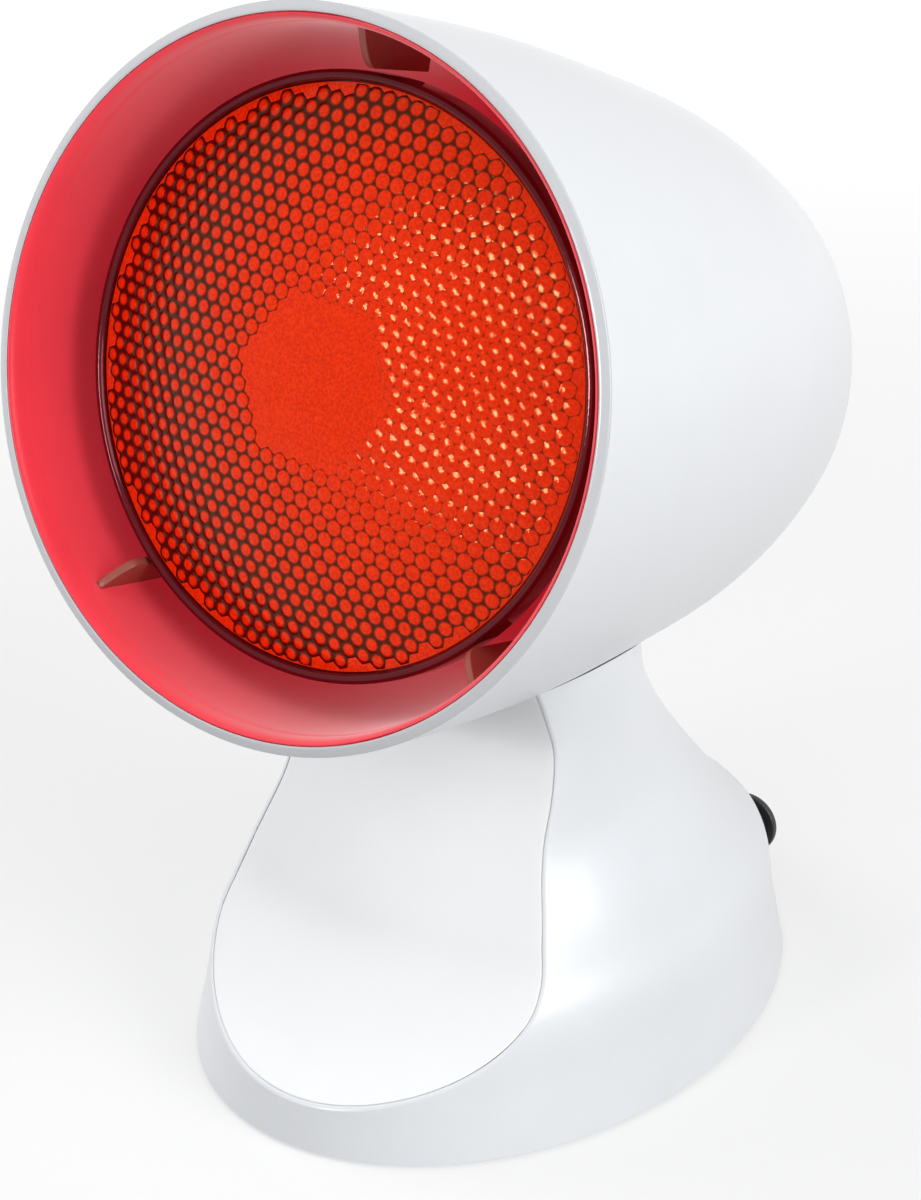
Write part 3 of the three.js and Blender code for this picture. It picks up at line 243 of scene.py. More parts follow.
def new_finish(name, roughness, metallic=0, coat=0, sheen=0, gloss=0.5, tint=(1, 1, 1)):
    finish = bpy.data.materials.new(name)
    finish.use_nodes = True
    FINISHES[name] = finish
    tree = Tree(finish.node_tree)
    shader = tree.nodes["Principled BSDF"]
    tree.feed(
        shader, Roughness=roughness, Metallic=metallic, Coat_Weight=coat, Coat_Roughness=COAT_ROUGHNESS,
        Specular_IOR_Level=gloss, Specular_Tint=(*tint, 1), Sheen_Weight=sheen,
    )
    return tree, shader


def noise(tree, scale, detail=3, stretch=(1, 1, 1)):
    place = tree.put("Mapping", Vector=tree.put("TexCoord", "Object"), Scale=stretch)
    return tree.put("TexNoise", "Fac", Vector=place, Scale=scale, Detail=detail)


def ramp(tree, value, *stops):
    scale = tree.nodes.new("ShaderNodeValToRGB")
    marks = scale.color_ramp.elements
    for mark, (place, colour) in zip(marks, (stops[0], stops[-1])):
        mark.position, mark.color = place, (*colour, 1)
    for place, colour in stops[1:-1]:
        marks.new(place).color = (*colour, 1)
    tree.feed(scale, Fac=value)
    return scale.outputs["Color"]


def grained(
    name, colour, roughness, drift=0.03, cloud=60, grain=900, depth=0.00002, stretch=(1, 1, 1), painted_glow=0, **more,
):
    """Colour and roughness drift in clouds, over a bump of fine grain that is depth metres deep."""
    tree, shader = new_finish(name, roughness, **more)
    clouds = noise(tree, cloud, stretch=stretch)
    dark = tuple(c * (1 - drift) for c in colour)
    light = tuple(min(1, c * (1 + drift)) for c in colour)
    tone = ramp(tree, clouds, (0.3, dark), (0.7, light))
    low, high = roughness * (1 - ROUGHNESS_DRIFT), roughness * (1 + ROUGHNESS_DRIFT)
    rough = tree.put("MapRange", "Result", Value=clouds, To_Min=low, To_Max=high)
    bump = tree.put("Bump", Distance=depth, Height=noise(tree, grain, 2, stretch))
    tree.feed(shader, Base_Color=tone, Roughness=rough, Normal=bump)
    # Painted light: an even glow of the surface's own colour, which no lamp gives.
    if painted_glow:
        tree.feed(shader, Emission_Color=tone, Emission_Strength=painted_glow)


# %% [markdown]
# The white parts are moulded plastic. Shell and lip are glossy, so they get a thin clear coat, and the panel
# is matt. The panel's white is brighter than the shell's: painted light, which lifts its upturned face where
# the head shades it. One function with a few numbers makes them all, and also the rubber, metal and ceramic
# that show only when the lamp is turned over or taken apart.

# %% Finishes of the lamp
grained("shell_white", (0.79, 0.81, 0.84), 0.34, drift=0.01, coat=0.3)
grained("lip_white", (0.62, 0.635, 0.66), 0.24, drift=0.01, coat=0.3)
# Painted light: the panel's white is brighter than the shell's, for the light on its upturned face.
grained("panel_white_painted_light", (0.93, 0.935, 0.945), 0.5, drift=0.008)
grained("dark_plastic", (0.014, 0.015, 0.017), 0.42, grain=2500, depth=0.00004)
grained("foot_rubber", (0.026, 0.027, 0.028), 0.8, drift=0.1, grain=1800, depth=0.00006)
grained("plated_steel", (0.6, 0.61, 0.62), 0.3, grain=700, stretch=(1, 6, 1), metallic=1)
grained("brass", (0.72, 0.5, 0.2), 0.28, drift=0.08, grain=1200, metallic=1)
grained("glazed_ceramic", (0.83, 0.79, 0.7), 0.35, drift=0.03, grain=600, coat=0.5)
grained("lead_sleeve", (0.7, 0.7, 0.67), 0.6, drift=0.05, grain=3000, depth=0.00004)
grained("tungsten", (0.35, 0.34, 0.33), 0.45, drift=0.1, grain=4000, metallic=1)
print("finishes", sorted(FINISHES))

# %% [markdown]
# The inside of the shade is semi-gloss red lacquer on plastic. It also glows a little with its own colour,
# which is painted light: it evens out the shade that falls deep inside the head. The bulb's glass is ruby red,
# almost black where it is thick, and mirrors with a red tint. The pattern of the lens follows its small lenses:
# each carries a value called swell, from 0 in the grooves to 1 on its crown. The grooves are painted dark as
# painted shade, and this painted shade widens away from the place where the photograph's glass is clearest.
# Real refraction could do this, but it needs many light paths and an inside that the photograph doesn't show.

# %% Red finishes
# The point round which the painted shade in the lens's grooves is narrowest, and the distances over which it
# widens.
LEAST_SHADED_POINT = (0.026, -0.067, 0.178)
UNSHADED_REACH, FULL_SHADE_REACH = 0.022, 0.064
NARROWEST, WIDEST = -0.15, 0.4


def lens_finish(name, attribute=""):
    """Orange-red glass. Where attribute names a value on the mesh, low values turn it dark with painted shade.
    """
    tree, shader = new_finish(name, 0.05, gloss=0.4, tint=(1, 0.45, 0.18))
    fine = noise(tree, 1600, 4)
    bright = ramp(tree, fine, (0.35, (0.7, 0.012, 0.0002)), (0.65, (0.88, 0.029, 0.0002)))
    if attribute:
        swell = tree.put("Attribute", "Fac", {"attribute_name": attribute})
        away = tree.measure("DISTANCE", tree.put("TexCoord", "Object"), LEAST_SHADED_POINT)
        # Painted shade in the grooves: narrow near one point of the lens and wider away from it.
        groove = tree.put(
            "MapRange", "Result", Value=away, From_Min=UNSHADED_REACH, From_Max=FULL_SHADE_REACH, To_Min=NARROWEST,
            To_Max=WIDEST,
        )
        shade = ramp(
            tree, tree.minus(swell, groove), (0.0, (0.06, 0.02, 0.02)), (0.15, (0.24, 0.1, 0.06)),
            (0.4, (1, 1, 1)),
        )
        multiply = {"data_type": "RGBA", "blend_type": "MULTIPLY"}
        bright = tree.put("Mix", "Result", multiply, Factor=1, A=bright, B=shade)
    bump = tree.put("Bump", Distance=0.00003, Height=fine)
    tree.feed(shader, Base_Color=bright, Emission_Color=bright, Emission_Strength=0.14, Normal=bump)


# The shade's painted_glow is painted light, which lifts the shade deep inside the head.
grained("shade_red", (0.72, 0.024, 0.045), 0.34, drift=0.06, cloud=40, sheen=0.7, gloss=0.25, painted_glow=0.34)
# The ribs are the shade's red plastic, painted darker: painted shade on their sides.
grained("rib_red_painted_shade", (0.3, 0.07, 0.05), 0.4, drift=0.1, cloud=60)
grained("ruby_glass", (0.09, 0.001, 0.004), 0.06, drift=0.2, cloud=90, tint=(1, 0.35, 0.4))
lens_finish("lenslet_glass", "swell")
lens_finish("lens_glass")
print("red finishes ready")

# %% [markdown]
# The designed parts are solids of revolution, so the fine ones are too. A line of (radius, depth) points
# turns about the bulb's axis, and a short curve eases each corner, because no moulded edge is truly sharp.
# The shell's own line is the same smooth curve through the same few shares of its size as in the design, only
# with far more points.

# %% Sizes of the head
RIM_RADIUS = 0.073
HEAD_LENGTH = 0.165
HEAD_TILT = math.radians(16)
HEAD = Matrix.Translation((0, -0.074, 0.174)) @ Matrix.Rotation(-HEAD_TILT, 4, "X")
SHELL_SHARES = [
    (0, 1), (0.12, 0.99), (0.3, 0.96), (0.5, 0.896), (0.66, 0.832), (0.797, 0.742),
    (0.897, 0.645), (0.958, 0.507), (0.988, 0.345), (0.998, 0.17),
]
WALL = 0.0022
GAP = 0.0003
RUNNING_GAP = 0.0006
SPIN = 160


def flowing(knots, steps=10):
    """Points on a centripetal Catmull-Rom curve through the knots."""
    knots = [Vector(k) for k in knots]
    line = [2 * knots[0] - knots[1], *knots, 2 * knots[-1] - knots[-2]]
    points = []
    for p0, p1, p2, p3 in zip(line, line[1:], line[2:], line[3:]):
        d0, d1, d2 = (math.sqrt((b - a).length) for a, b in ((p0, p1), (p1, p2), (p2, p3)))
        m1 = ((p1 - p0) / d0 - (p2 - p0) / (d0 + d1) + (p2 - p1) / d1) * d1
        m2 = ((p2 - p1) / d1 - (p3 - p1) / (d1 + d2) + (p3 - p2) / d2) * d1
        for t in (i / steps for i in range(steps)):
            points.append(
                p1 * (2 * t**3 - 3 * t**2 + 1) + m1 * (t**3 - 2 * t**2 + t)
                + p2 * (3 * t**2 - 2 * t**3) + m2 * (t**3 - t**2)
            )
    return [tuple(p) for p in points + [knots[-1]]]


def offset(line, distance):
    """The line moved along its own normal: away from the axis where distance is positive."""
    moved = []
    for i, (r, s) in enumerate(line):
        r0, s0 = line[max(i - 1, 0)]
        r1, s1 = line[min(i + 1, len(line) - 1)]
        length = math.hypot(r1 - r0, s1 - s0)
        moved.append((r + distance * (s1 - s0) / length, s - distance * (r1 - r0) / length))
    return moved


SHELL_LINE = flowing([(r * RIM_RADIUS, s * HEAD_LENGTH) for s, r in SHELL_SHARES])
SHELL_LINE.append((0, SHELL_LINE[-1][1]))
print("shell line", len(SHELL_LINE), "points")

# %% [markdown]
# Blender's Spin tool and its Screw modifier could turn an outline too. Here the points and faces are written
# out, because then the number of steps, the poles and the seams are known. Rows of points are joined into
# bands of faces in the same way, and a closed outline becomes a slab with a thickness.


# %% Turning, easing and joining rows
def bend(start, corner, end, steps=4):
    shares = [i / steps for i in range(steps + 1)]
    return [start * (1 - t) ** 2 + corner * 2 * t * (1 - t) + end * t**2 for t in shares]


def eased(corners, steps=4):
    """A closed outline of (radius, depth, ease) corners, each rounded over that distance."""
    line = []
    for before, corner, after in zip(corners[-1:] + corners[:-1], corners, corners[1:] + corners[:1]):
        here = Vector(corner[:2])
        if corner[2]:
            start, end = (here + (Vector(p[:2]) - here).normalized() * corner[2] for p in (before, after))
            line += [tuple(p) for p in bend(start, here, end, steps)]
        else:
            line.append(tuple(here))
    return line


def turned(line, steps=SPIN):
    """Points and faces of a closed outline turned about the Y axis."""
    points, faces = [], []
    for i in range(steps):
        turn = 2 * math.pi * i / steps
        points += [(r * math.cos(turn), s, r * math.sin(turn)) for r, s in line]
        near, far = i * len(line), (i + 1) % steps * len(line)
        for j in range(len(line)):
            k = (j + 1) % len(line)
            if line[j][0] > 0 or line[k][0] > 0:
                faces.append((near + j, far + j, far + k, near + k))
    return points, faces


def band(near, far, size, closed=True):
    """Faces between two rows of points, each given by the number of its first point."""
    pairs = [(j, (j + 1) % size) for j in range(size if closed else size - 1)]
    return [(near + j, near + k, far + k, far + j) for j, k in pairs]


def slab(line, thickness):
    """Points and faces of a closed outline in X and Y with a thickness along Z."""
    count = len(line)
    points = [(x, y, z) for z in (-thickness / 2, thickness / 2) for x, y in line]
    return points, [tuple(range(count)), tuple(range(count, 2 * count)), *band(0, count, count)]


# %% [markdown]
# A piece is a mesh with its points welded and its faces turned outwards. When it is done it gets its finish,
# smooth shading with creases kept and the body that it rides on, and the designed solids that it stands for
# are hidden.

# %% From points to a fitted piece
WELD = 0.000002
CREASE = math.radians(32)


def build(name, points, faces, place=None):
    mesh = bpy.data.meshes.new(name)
    mesh.from_pydata([tuple(p) for p in points], [], faces)
    work = bmesh.new()
    work.from_mesh(mesh)
    bmesh.ops.remove_doubles(work, verts=work.verts, dist=WELD)
    bmesh.ops.recalc_face_normals(work, faces=work.faces)
    work.to_mesh(mesh)
    work.free()
    if place:
        mesh.transform(place)
    return link(bpy.data.objects.new(name, mesh))


def fit(piece, body, finish, slot, *nodes, crease=CREASE):
    mesh = piece.data
    mesh.materials.clear()
    mesh.materials.append(FINISHES[finish])
    mesh.shade_smooth()
    mesh.set_sharp_from_angle(angle=crease)
    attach(piece, body)
    if nodes:
        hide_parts(*nodes)
    print(piece.name, "on", body, len(mesh.polygons), "faces for", ", ".join(nodes) or "detail")


def baked(piece):
    """The piece with its modifiers turned into plain mesh."""
    bpy.context.view_layer.update()
    mesh = bpy.data.meshes.new_from_object(piece.evaluated_get(bpy.context.evaluated_depsgraph_get()))
    piece.modifiers.clear()
    piece.data = mesh
    return piece


def cut(piece, tool, how="DIFFERENCE"):
    """The piece with the tool cut away or joined on."""
    change = piece.modifiers.new("cut", "BOOLEAN")
    change.operation, change.object, change.solver = how, tool, "EXACT"
    baked(piece)
    bpy.data.objects.remove(tool)


def softened(piece, width, segments=2, angle=35):
    """The piece with every edge that is sharper than the angle rounded over the width."""
    soften = piece.modifiers.new("soften", "BEVEL")
    soften.width, soften.segments = width, segments
    soften.limit_method, soften.angle_limit = "ANGLE", math.radians(angle)
    return baked(piece)


# %% [markdown]
# The outer shell is one glossy white moulding, drawn in at the back. Its front edge stops just behind the lip
# ring, which leaves the fine joint line that shows round the mouth. At the back it is open for the vent cap.

# %% Outer shell
LIP_DEPTH = 0.0016
SEAM = 0.00012
VENT_RADIUS = 0.027
EDGE = 0.0004

front = LIP_DEPTH + SEAM
outer = [(r, s) for r, s in SHELL_LINE if s > front + EDGE and r > VENT_RADIUS]
inner = offset(outer, -WALL)
shell_outline = [
    (RIM_RADIUS - EDGE, front), (RIM_RADIUS - EDGE / 4, front + EDGE / 4), *outer,
    (VENT_RADIUS, outer[-1][1] + EDGE / 4), (VENT_RADIUS, inner[-1][1]), *inner[::-1],
    (RIM_RADIUS - WALL, front),
]
fit(build("shell", *turned(shell_outline), HEAD), "head", "shell_white", "white_gloss", "head_shell")

# %% [markdown]
# The lip ring lies on the shell's front edge and leans back towards the outside, so it looks thin on the side
# that is turned away and wide on the other. Its section is a wedge with eased corners.

# %% Lip ring
LIP_FRONT = 0.0006
LIP_BEVEL = 0.0012
LIP_LAND = 0.0005
LIP_INNER = RIM_RADIUS - WALL

lip_outline = eased([
    (LIP_INNER, LIP_FRONT, 0.0002), (LIP_INNER + LIP_LAND, LIP_FRONT, 0.0003),
    (RIM_RADIUS, LIP_BEVEL, 0.0002), (RIM_RADIUS, LIP_DEPTH, 0.0001), (LIP_INNER, LIP_DEPTH, 0.0001),
], 6)
fit(build("lip_ring", *turned(lip_outline), HEAD), "head", "lip_white", "white_gloss", "rim_ring")

# %% [markdown]
# The shade follows the shell's inside, turns in at a shoulder behind the bulb and ends in a hole round the
# socket. A smooth curve through the shoulder's points gives the soft turn of moulded work, and its mouth is
# rounded in.

# %% Shade
MOUTH = LIP_INNER - GAP
SHADE_WALL = 0.0013
SHADE_STRAIGHT = 0.06
LEAD_IN = 0.004
SHADE_BACK = [(0.0618, 0.076), (0.0499, 0.092), (0.024, 0.104)]

kept = [p for p in offset(SHELL_LINE, -WALL - GAP) if front < p[1] < SHADE_STRAIGHT]
shade_line = flowing([(MOUTH, LIP_FRONT), *kept[4::8], *SHADE_BACK], 6)[1:]
shade_mouth = [
    (MOUTH - SHADE_WALL * math.cos(turn), LIP_FRONT + LEAD_IN * (1 - math.sin(turn)))
    for turn in (math.pi * i / 20 for i in range(11))
]
shade_inside = [p for p in offset(shade_line, -SHADE_WALL) if p[1] > LIP_FRONT + LEAD_IN]
shade = build("shade", *turned([*shade_mouth, *shade_line, *shade_inside[::-1]]), HEAD)
fit(shade, "head", "shade_red", "shade_red", "inner_shade")

# %% [markdown]
# Geometry Nodes make what repeats. Every tree takes its sizes as named inputs, and ends in Realize Instances
# and Set Material. The result is then turned into a plain mesh.


# %% Trees that make shapes
class ShapeTree(Tree):
    def __init__(self, name, **sizes):
        self.group = bpy.data.node_groups.new(name, "GeometryNodeTree")
        super().__init__(self.group, "GeometryNode", "FunctionNode", "ShaderNode")
        self.sizes = {key.replace("_", " "): value for key, value in sizes.items()}
        self.socket("Geometry", "INPUT", "Geometry")
        for size, value in self.sizes.items():
            self.socket(size, "INPUT", {float: "Float", int: "Int"}.get(type(value), "Object"))
        self.socket("Geometry", "OUTPUT", "Geometry")
        self.given = self.nodes.new("NodeGroupInput").outputs

    def socket(self, name, way, kind):
        self.group.interface.new_socket(name, in_out=way, socket_type="NodeSocket" + kind)

    def run(self, result, piece, finish):
        """Ends the tree, runs it on the piece with its sizes and returns the piece as plain mesh."""
        whole = self.put("RealizeInstances", Geometry=result)
        done = self.put("SetMaterial", Geometry=whole, Material=FINISHES[finish])
        self.feed(self.nodes.new("NodeGroupOutput"), Geometry=done)
        step = piece.modifiers.new(self.group.name, "NODES")
        step.node_group = self.group
        for socket in self.group.interface.items_tree:
            if socket.in_out == "INPUT" and socket.name in self.sizes:
                step[socket.identifier] = self.sizes[socket.name]
        return baked(piece)


def loose_points(name, places, **values):
    """An object that holds only points, with the given vector values on them."""
    mesh = bpy.data.meshes.new(name)
    mesh.from_pydata([tuple(p) for p in places], [], [])
    for key, vectors in values.items():
        for item, vector in zip(mesh.attributes.new(key, "FLOAT_VECTOR", "POINT").data, vectors):
            item.vector = vector
    return link(bpy.data.objects.new(name, mesh))


def copies(name, pattern, places, turns, finish):
    """The pattern object set on every place, turned by that place's angles, as one mesh."""
    tree = ShapeTree("set_" + name, Pattern=pattern)
    what = tree.put("ObjectInfo", "Geometry", Object=tree.given["Pattern"])
    turn = tree.put("InputNamedAttribute", settings={"data_type": "FLOAT_VECTOR"}, Name="turn")
    turn = tree.put("EulerToRotation", Euler=turn)
    every = tree.put("InstanceOnPoints", Points=tree.given["Geometry"], Instance=what, Rotation=turn)
    done = tree.run(every, loose_points(name, places, turn=turns), finish)
    bpy.data.objects.remove(pattern)
    return done


# %% [markdown]
# Three thin ribs on the inside of the shade centre the bulb. Each starts with a curved ramp near the mouth.
# One rib is drawn in outline and given its thickness, and the node tree sets it at the three angles read from
# the photograph.

# %% Centring ribs
RIB_THICKNESS = 0.0018
RIB_TOP = 0.0613
RIB_START = 0.008
RIB_RISE = 0.006
RIB_END = 0.032
RIB_ANGLES = (90, 230, 315)

slope = [
    ((MOUTH - SHADE_WALL) * (1 - t) ** 2 + RIB_TOP * (1 - (1 - t) ** 2), RIB_START + RIB_RISE * t)
    for t in (i / 8 for i in range(9))
]
root = [p for p in offset(shade_line, -SHADE_WALL / 2) if RIB_START < p[1] < RIB_END]
rib = build("rib_pattern", *slab([*slope, (RIB_TOP, RIB_END), *root[::-1]], RIB_THICKNESS))
turns = [(0, -math.radians(angle), 0) for angle in RIB_ANGLES]
ribs = copies("shade_ribs", softened(rib, 0.0003, angle=30), [(0, 0, 0)] * len(turns), turns, "rib_red_painted_shade")
ribs.data.transform(HEAD)
fit(ribs, "head", "rib_red_painted_shade", "shade_red")

# %% [markdown]
# The vent cap closes the back of the head. Its slots are cut by the node tree: a row of points, a box on each
# whose length shrinks with its distance from the middle, a round end on both sides, and one Boolean for all.

# %% Vent cap
SLOT_WIDTH = 0.0026
SLOT_PITCH = 0.0064
SLOT_COUNT = 7
SLOT_REACH = 0.021

cap_line = [p for p in SHELL_LINE if p[0] < VENT_RADIUS - GAP - EDGE / 4]
cap_edge = VENT_RADIUS - GAP
cap_inside = [(max(r, 0), s) for r, s in offset(cap_line, -WALL)]
cap_outline = [
    (cap_edge, cap_inside[0][1]), (cap_edge, cap_line[0][1] - EDGE), *cap_line, (0, cap_inside[-1][1]),
    *[p for p in cap_inside[::-1] if p[0] > EDGE],
]


def slotted(piece):
    tree = ShapeTree("vent_slots", Count=SLOT_COUNT, Pitch=SLOT_PITCH, Width=SLOT_WIDTH, Reach=SLOT_REACH)
    given, times = tree.given, tree.times
    half_row = times(tree.minus(given["Count"], 1.0), 0.5)
    low = tree.put("CombineXYZ", Z=times(times(half_row, -1.0), given["Pitch"]))
    step = tree.put("CombineXYZ", Z=given["Pitch"])
    row = tree.put("MeshLine", Count=given["Count"], Start_Location=low, Offset=step)
    height = tree.put("SeparateXYZ", "Z", Vector=tree.put("InputPosition"))
    reach2 = times(given["Reach"], given["Reach"])
    length = tree.sums("SQRT", tree.minus(reach2, times(height, height)))
    size = tree.put("CombineXYZ", X=times(length, 2.0), Y=HEAD_LENGTH, Z=given["Width"])
    tools = [tree.put("InstanceOnPoints", Points=row, Instance=tree.put("MeshCube"), Scale=size)]
    peg = tree.put("MeshCylinder", Vertices=24, Radius=times(given["Width"], 0.5), Depth=HEAD_LENGTH)
    peg = tree.put("Transform", Geometry=peg, Rotation=(math.pi / 2, 0, 0))
    for side in (-1.0, 1.0):
        ends = tree.put("SetPosition", Geometry=row, Offset=tree.put("CombineXYZ", X=times(length, side)))
        tools.append(tree.put("InstanceOnPoints", Points=ends, Instance=peg))
    tools = tree.put("RealizeInstances", Geometry=tree.put("JoinGeometry", Geometry=tools))
    back = tree.put("Transform", Geometry=tools, Translation=(0, HEAD_LENGTH, 0))
    slots = tree.put(
        "MeshBoolean", "Mesh", {"operation": "DIFFERENCE", "solver": "EXACT"}, Mesh_1=given["Geometry"],
        Mesh_2=back, Self_Intersection=True,
    )
    return tree.run(slots, piece, "shell_white")


vent_cap = slotted(build("vent_grille", *turned(cap_outline)))
vent_cap.data.transform(HEAD)
fit(vent_cap, "head", "shell_white", "white_gloss", "vent_cap")

# %% [markdown]
# The bulb's front is a shallow dome of pressed glass. A slice of a sphere would do, but an arc that is turned
# keeps the same wall everywhere and gives its edge and depth as plain sizes.

# %% Lens dome
BULB_RADIUS = 0.0605
LENS_RADIUS = 0.058
LENS_APEX = 0.009
LENS_EDGE = 0.017
LENS_THICKNESS = 0.0032
LENS_SAG = LENS_EDGE - LENS_APEX
DOME = (LENS_RADIUS**2 + LENS_SAG**2) / (2 * LENS_SAG)


def dome_line(apex, steps=40):
    radii = [LENS_RADIUS * i / steps for i in range(steps + 1)]
    return [(r, apex + DOME - math.sqrt(DOME**2 - r * r)) for r in radii]


lens_outline = dome_line(LENS_APEX) + dome_line(LENS_APEX + LENS_THICKNESS)[::-1]
fit(build("lens_dome", *turned(lens_outline), HEAD), "bulb", "lens_glass", "lens_red", "bulb_lens")

# %% [markdown]
# Round a plain six-sided middle the dome carries a honeycomb of small round lenses. A bump in the finish
# could draw them, but real crowns catch the front lamp one by one, as in the photograph. One tree makes them:
# a grid of points with every other row shifted by half a step, a six-sided patch with a round crown on each,
# all welded into one sheet, thickened and laid on the dome. The outermost cells are drawn in to a circle, so
# that the sheet ends in a clean edge.

# %% Honeycomb of small lenses
PITCH = 0.0034
PLAIN_RINGS = 5.5
HONEYCOMB_REACH = 0.0566
HONEYCOMB_EDGE = 0.0578
SWELL = 0.00022
SHEET = 0.0003
HONEYCOMB_TURN = math.radians(-5)
ROW_SHARE = math.sqrt(3) / 2


def staggered_grid(tree, half_width, half_depth):
    """A grid of points whose odd rows are shifted by half a pitch, each point's place, and the rows' step."""
    pitch = tree.given["Pitch"]
    columns = 2 * math.ceil(half_width / tree.sizes["Pitch"]) + 1
    rows = 2 * math.ceil(half_depth / tree.sizes["Pitch"] / ROW_SHARE) + 1
    row_step = tree.times(pitch, ROW_SHARE)
    grid = tree.put(
        "MeshGrid", Size_X=tree.times(pitch, columns - 1.0), Size_Y=tree.times(row_step, rows - 1.0),
        Vertices_X=columns, Vertices_Y=rows,
    )
    place = tree.put("InputPosition")
    odd = tree.sums("PINGPONG", tree.over(tree.put("SeparateXYZ", "Y", Vector=place), row_step), 1.0)
    shift = tree.put("CombineXYZ", X=tree.times(tree.times(odd, pitch), 0.5))
    return tree.put("SetPosition", Geometry=grid, Offset=shift), place, row_step


def without(tree, grid, operation, value, limit):
    """The points for which the value is not above, or not below, the limit."""
    drop = tree.put("Compare", settings={"operation": operation}, i0=value, i1=limit)
    return tree.put("DeleteGeometry", Geometry=grid, Selection=drop)


def honeycomb_points(tree):
    """Every point of the honeycomb outside its plain middle and inside its reach."""
    grid, place, row_step = staggered_grid(tree, LENS_RADIUS, LENS_RADIUS)
    reach = 0.0
    for turn in (math.radians(30), math.radians(90), math.radians(150)):
        along = tree.measure("DOT_PRODUCT", place, (math.cos(turn), math.sin(turn), 0))
        reach = tree.sums("MAXIMUM", reach, tree.sums("ABSOLUTE", along))
    grid = without(tree, grid, "GREATER_THAN", tree.measure("LENGTH", place), tree.given["Reach"])
    return without(tree, grid, "LESS_THAN", tree.over(reach, row_step), tree.given["Plain Rings"])


def crowned_patch(tree):
    """A six-sided patch that fills one cell, swollen in the middle."""
    corner = tree.over(tree.given["Pitch"], math.sqrt(3))
    patch = tree.put("MeshCircle", settings={"fill_type": "TRIANGLE_FAN"}, Vertices=6, Radius=corner)
    patch = tree.put("Transform", Geometry=patch, Rotation=(0, 0, math.radians(30)))
    patch = tree.put("SubdivideMesh", Mesh=patch, Level=1)
    share = tree.over(tree.measure("LENGTH", tree.put("InputPosition")), corner)
    crown = tree.minus(1.0, tree.times(share, share))
    rise = tree.put("CombineXYZ", Z=tree.times(crown, tree.given["Swell"]))
    return tree.put("SetPosition", Geometry=patch, Offset=rise)


def honeycomb():
    tree = ShapeTree(
        "honeycomb", Pitch=PITCH, Reach=HONEYCOMB_REACH, Swell=SWELL, Sheet=SHEET, Turn=HONEYCOMB_TURN,
        Plain_Rings=PLAIN_RINGS, Dome_Radius=DOME, Apex_Depth=LENS_APEX, Edge=HONEYCOMB_EDGE,
    )
    given, times = tree.given, tree.times
    cells = tree.put("InstanceOnPoints", Points=honeycomb_points(tree), Instance=crowned_patch(tree))
    cells = tree.put("RealizeInstances", Geometry=cells)
    top = tree.put("MergeByDistance", Geometry=cells, Distance=0.00005)
    place = tree.put("InputPosition")
    top = tree.put(
        "StoreNamedAttribute", settings={"data_type": "FLOAT", "domain": "POINT"}, Geometry=top,
        Name="swell", Value=tree.over(tree.put("SeparateXYZ", "Z", Vector=place), given["Swell"]),
    )
    down = tree.put("CombineXYZ", Z=times(given["Sheet"], -1.0))
    faces = {"mode": "FACES"}
    lower = tree.put("ExtrudeMesh", settings=faces, Mesh=top, Offset=down, Offset_Scale=1.0, Individual=False)
    sheet = tree.put("JoinGeometry", Geometry=[top, tree.put("FlipFaces", Mesh=lower)])
    sheet = tree.put("MergeByDistance", Geometry=sheet, Distance=0.00002)
    turn = tree.put("VectorRotate", settings={"rotation_type": "Z_AXIS"}, Vector=place, Angle=given["Turn"])
    x, y, z = tree.put("SeparateXYZ", None, Vector=turn)
    reach = tree.measure("LENGTH", tree.put("CombineXYZ", X=x, Y=y))
    share = tree.sums("MINIMUM", tree.over(given["Edge"], reach), 1.0)
    x, y = times(x, share), times(y, share)
    radius2 = tree.sums("ADD", times(x, x), times(y, y))
    dome2 = times(given["Dome Radius"], given["Dome Radius"])
    bow = tree.minus(given["Dome Radius"], tree.sums("SQRT", tree.minus(dome2, radius2)))
    depth = tree.minus(tree.sums("ADD", given["Apex Depth"], bow), z)
    laid = tree.put("SetPosition", Geometry=sheet, Position=tree.put("CombineXYZ", X=x, Y=depth, Z=y))
    return tree.run(laid, loose_points("lens_honeycomb", [(0, 0, 0)]), "lenslet_glass")


lenslets = honeycomb()
lenslets.data.transform(HEAD)
fit(lenslets, "bulb", "lenslet_glass", "lens_red", crease=math.radians(16))

# %% [markdown]
# Round the lens runs the bead of dark ruby glass where the two halves of the bulb are fused, and behind it
# the reflector narrows to the neck. It is the same kind of turned outline, with a groove between bead and
# lens.

# %% Ruby reflector
BEAD_FRONT = 0.0158
BEAD_END = 0.022
BEAD_INNER = LENS_RADIUS + GAP
NECK_DEPTH = 0.1
GLASS_WALL = 0.0018
REFLECTOR_SHARES = [
    (0.985, 0.2), (0.86, 0.39), (0.67, 0.6), (0.48, 0.765), (0.315, 0.88), (0.273, 0.94), (0.273, 1),
]

cone = flowing([(r * BULB_RADIUS, s * NECK_DEPTH) for r, s in REFLECTOR_SHARES], 6)
cone = [p for p in cone if p[1] > BEAD_END + EDGE]
bead = eased([
    (BEAD_INNER, BEAD_END, 0), (BEAD_INNER, LENS_EDGE - 0.0002, 0.0004),
    (LENS_RADIUS + 0.0009, BEAD_FRONT, 0.0005), (BULB_RADIUS, BEAD_FRONT, 0.0012),
    (BULB_RADIUS, BEAD_END, 0.0006),
], 6)
bulb_outline = [
    *bead, *cone, *offset(cone, -GLASS_WALL)[::-1],
    (BEAD_INNER - GLASS_WALL, BEAD_END + 0.0008), (BEAD_INNER - GLASS_WALL, BEAD_END),
]
bulb = build("ruby_reflector", *turned(bulb_outline), HEAD)
fit(bulb, "bulb", "ruby_glass", "glass_red", "bulb_reflector")

# %% [markdown]
# The stand is an oval skirt that narrows to a neck. Its width, depth and shift at each height come from a
# short table of shares, read with the same smooth interpolation as in the design, so that the fine surface
# keeps to the solid.

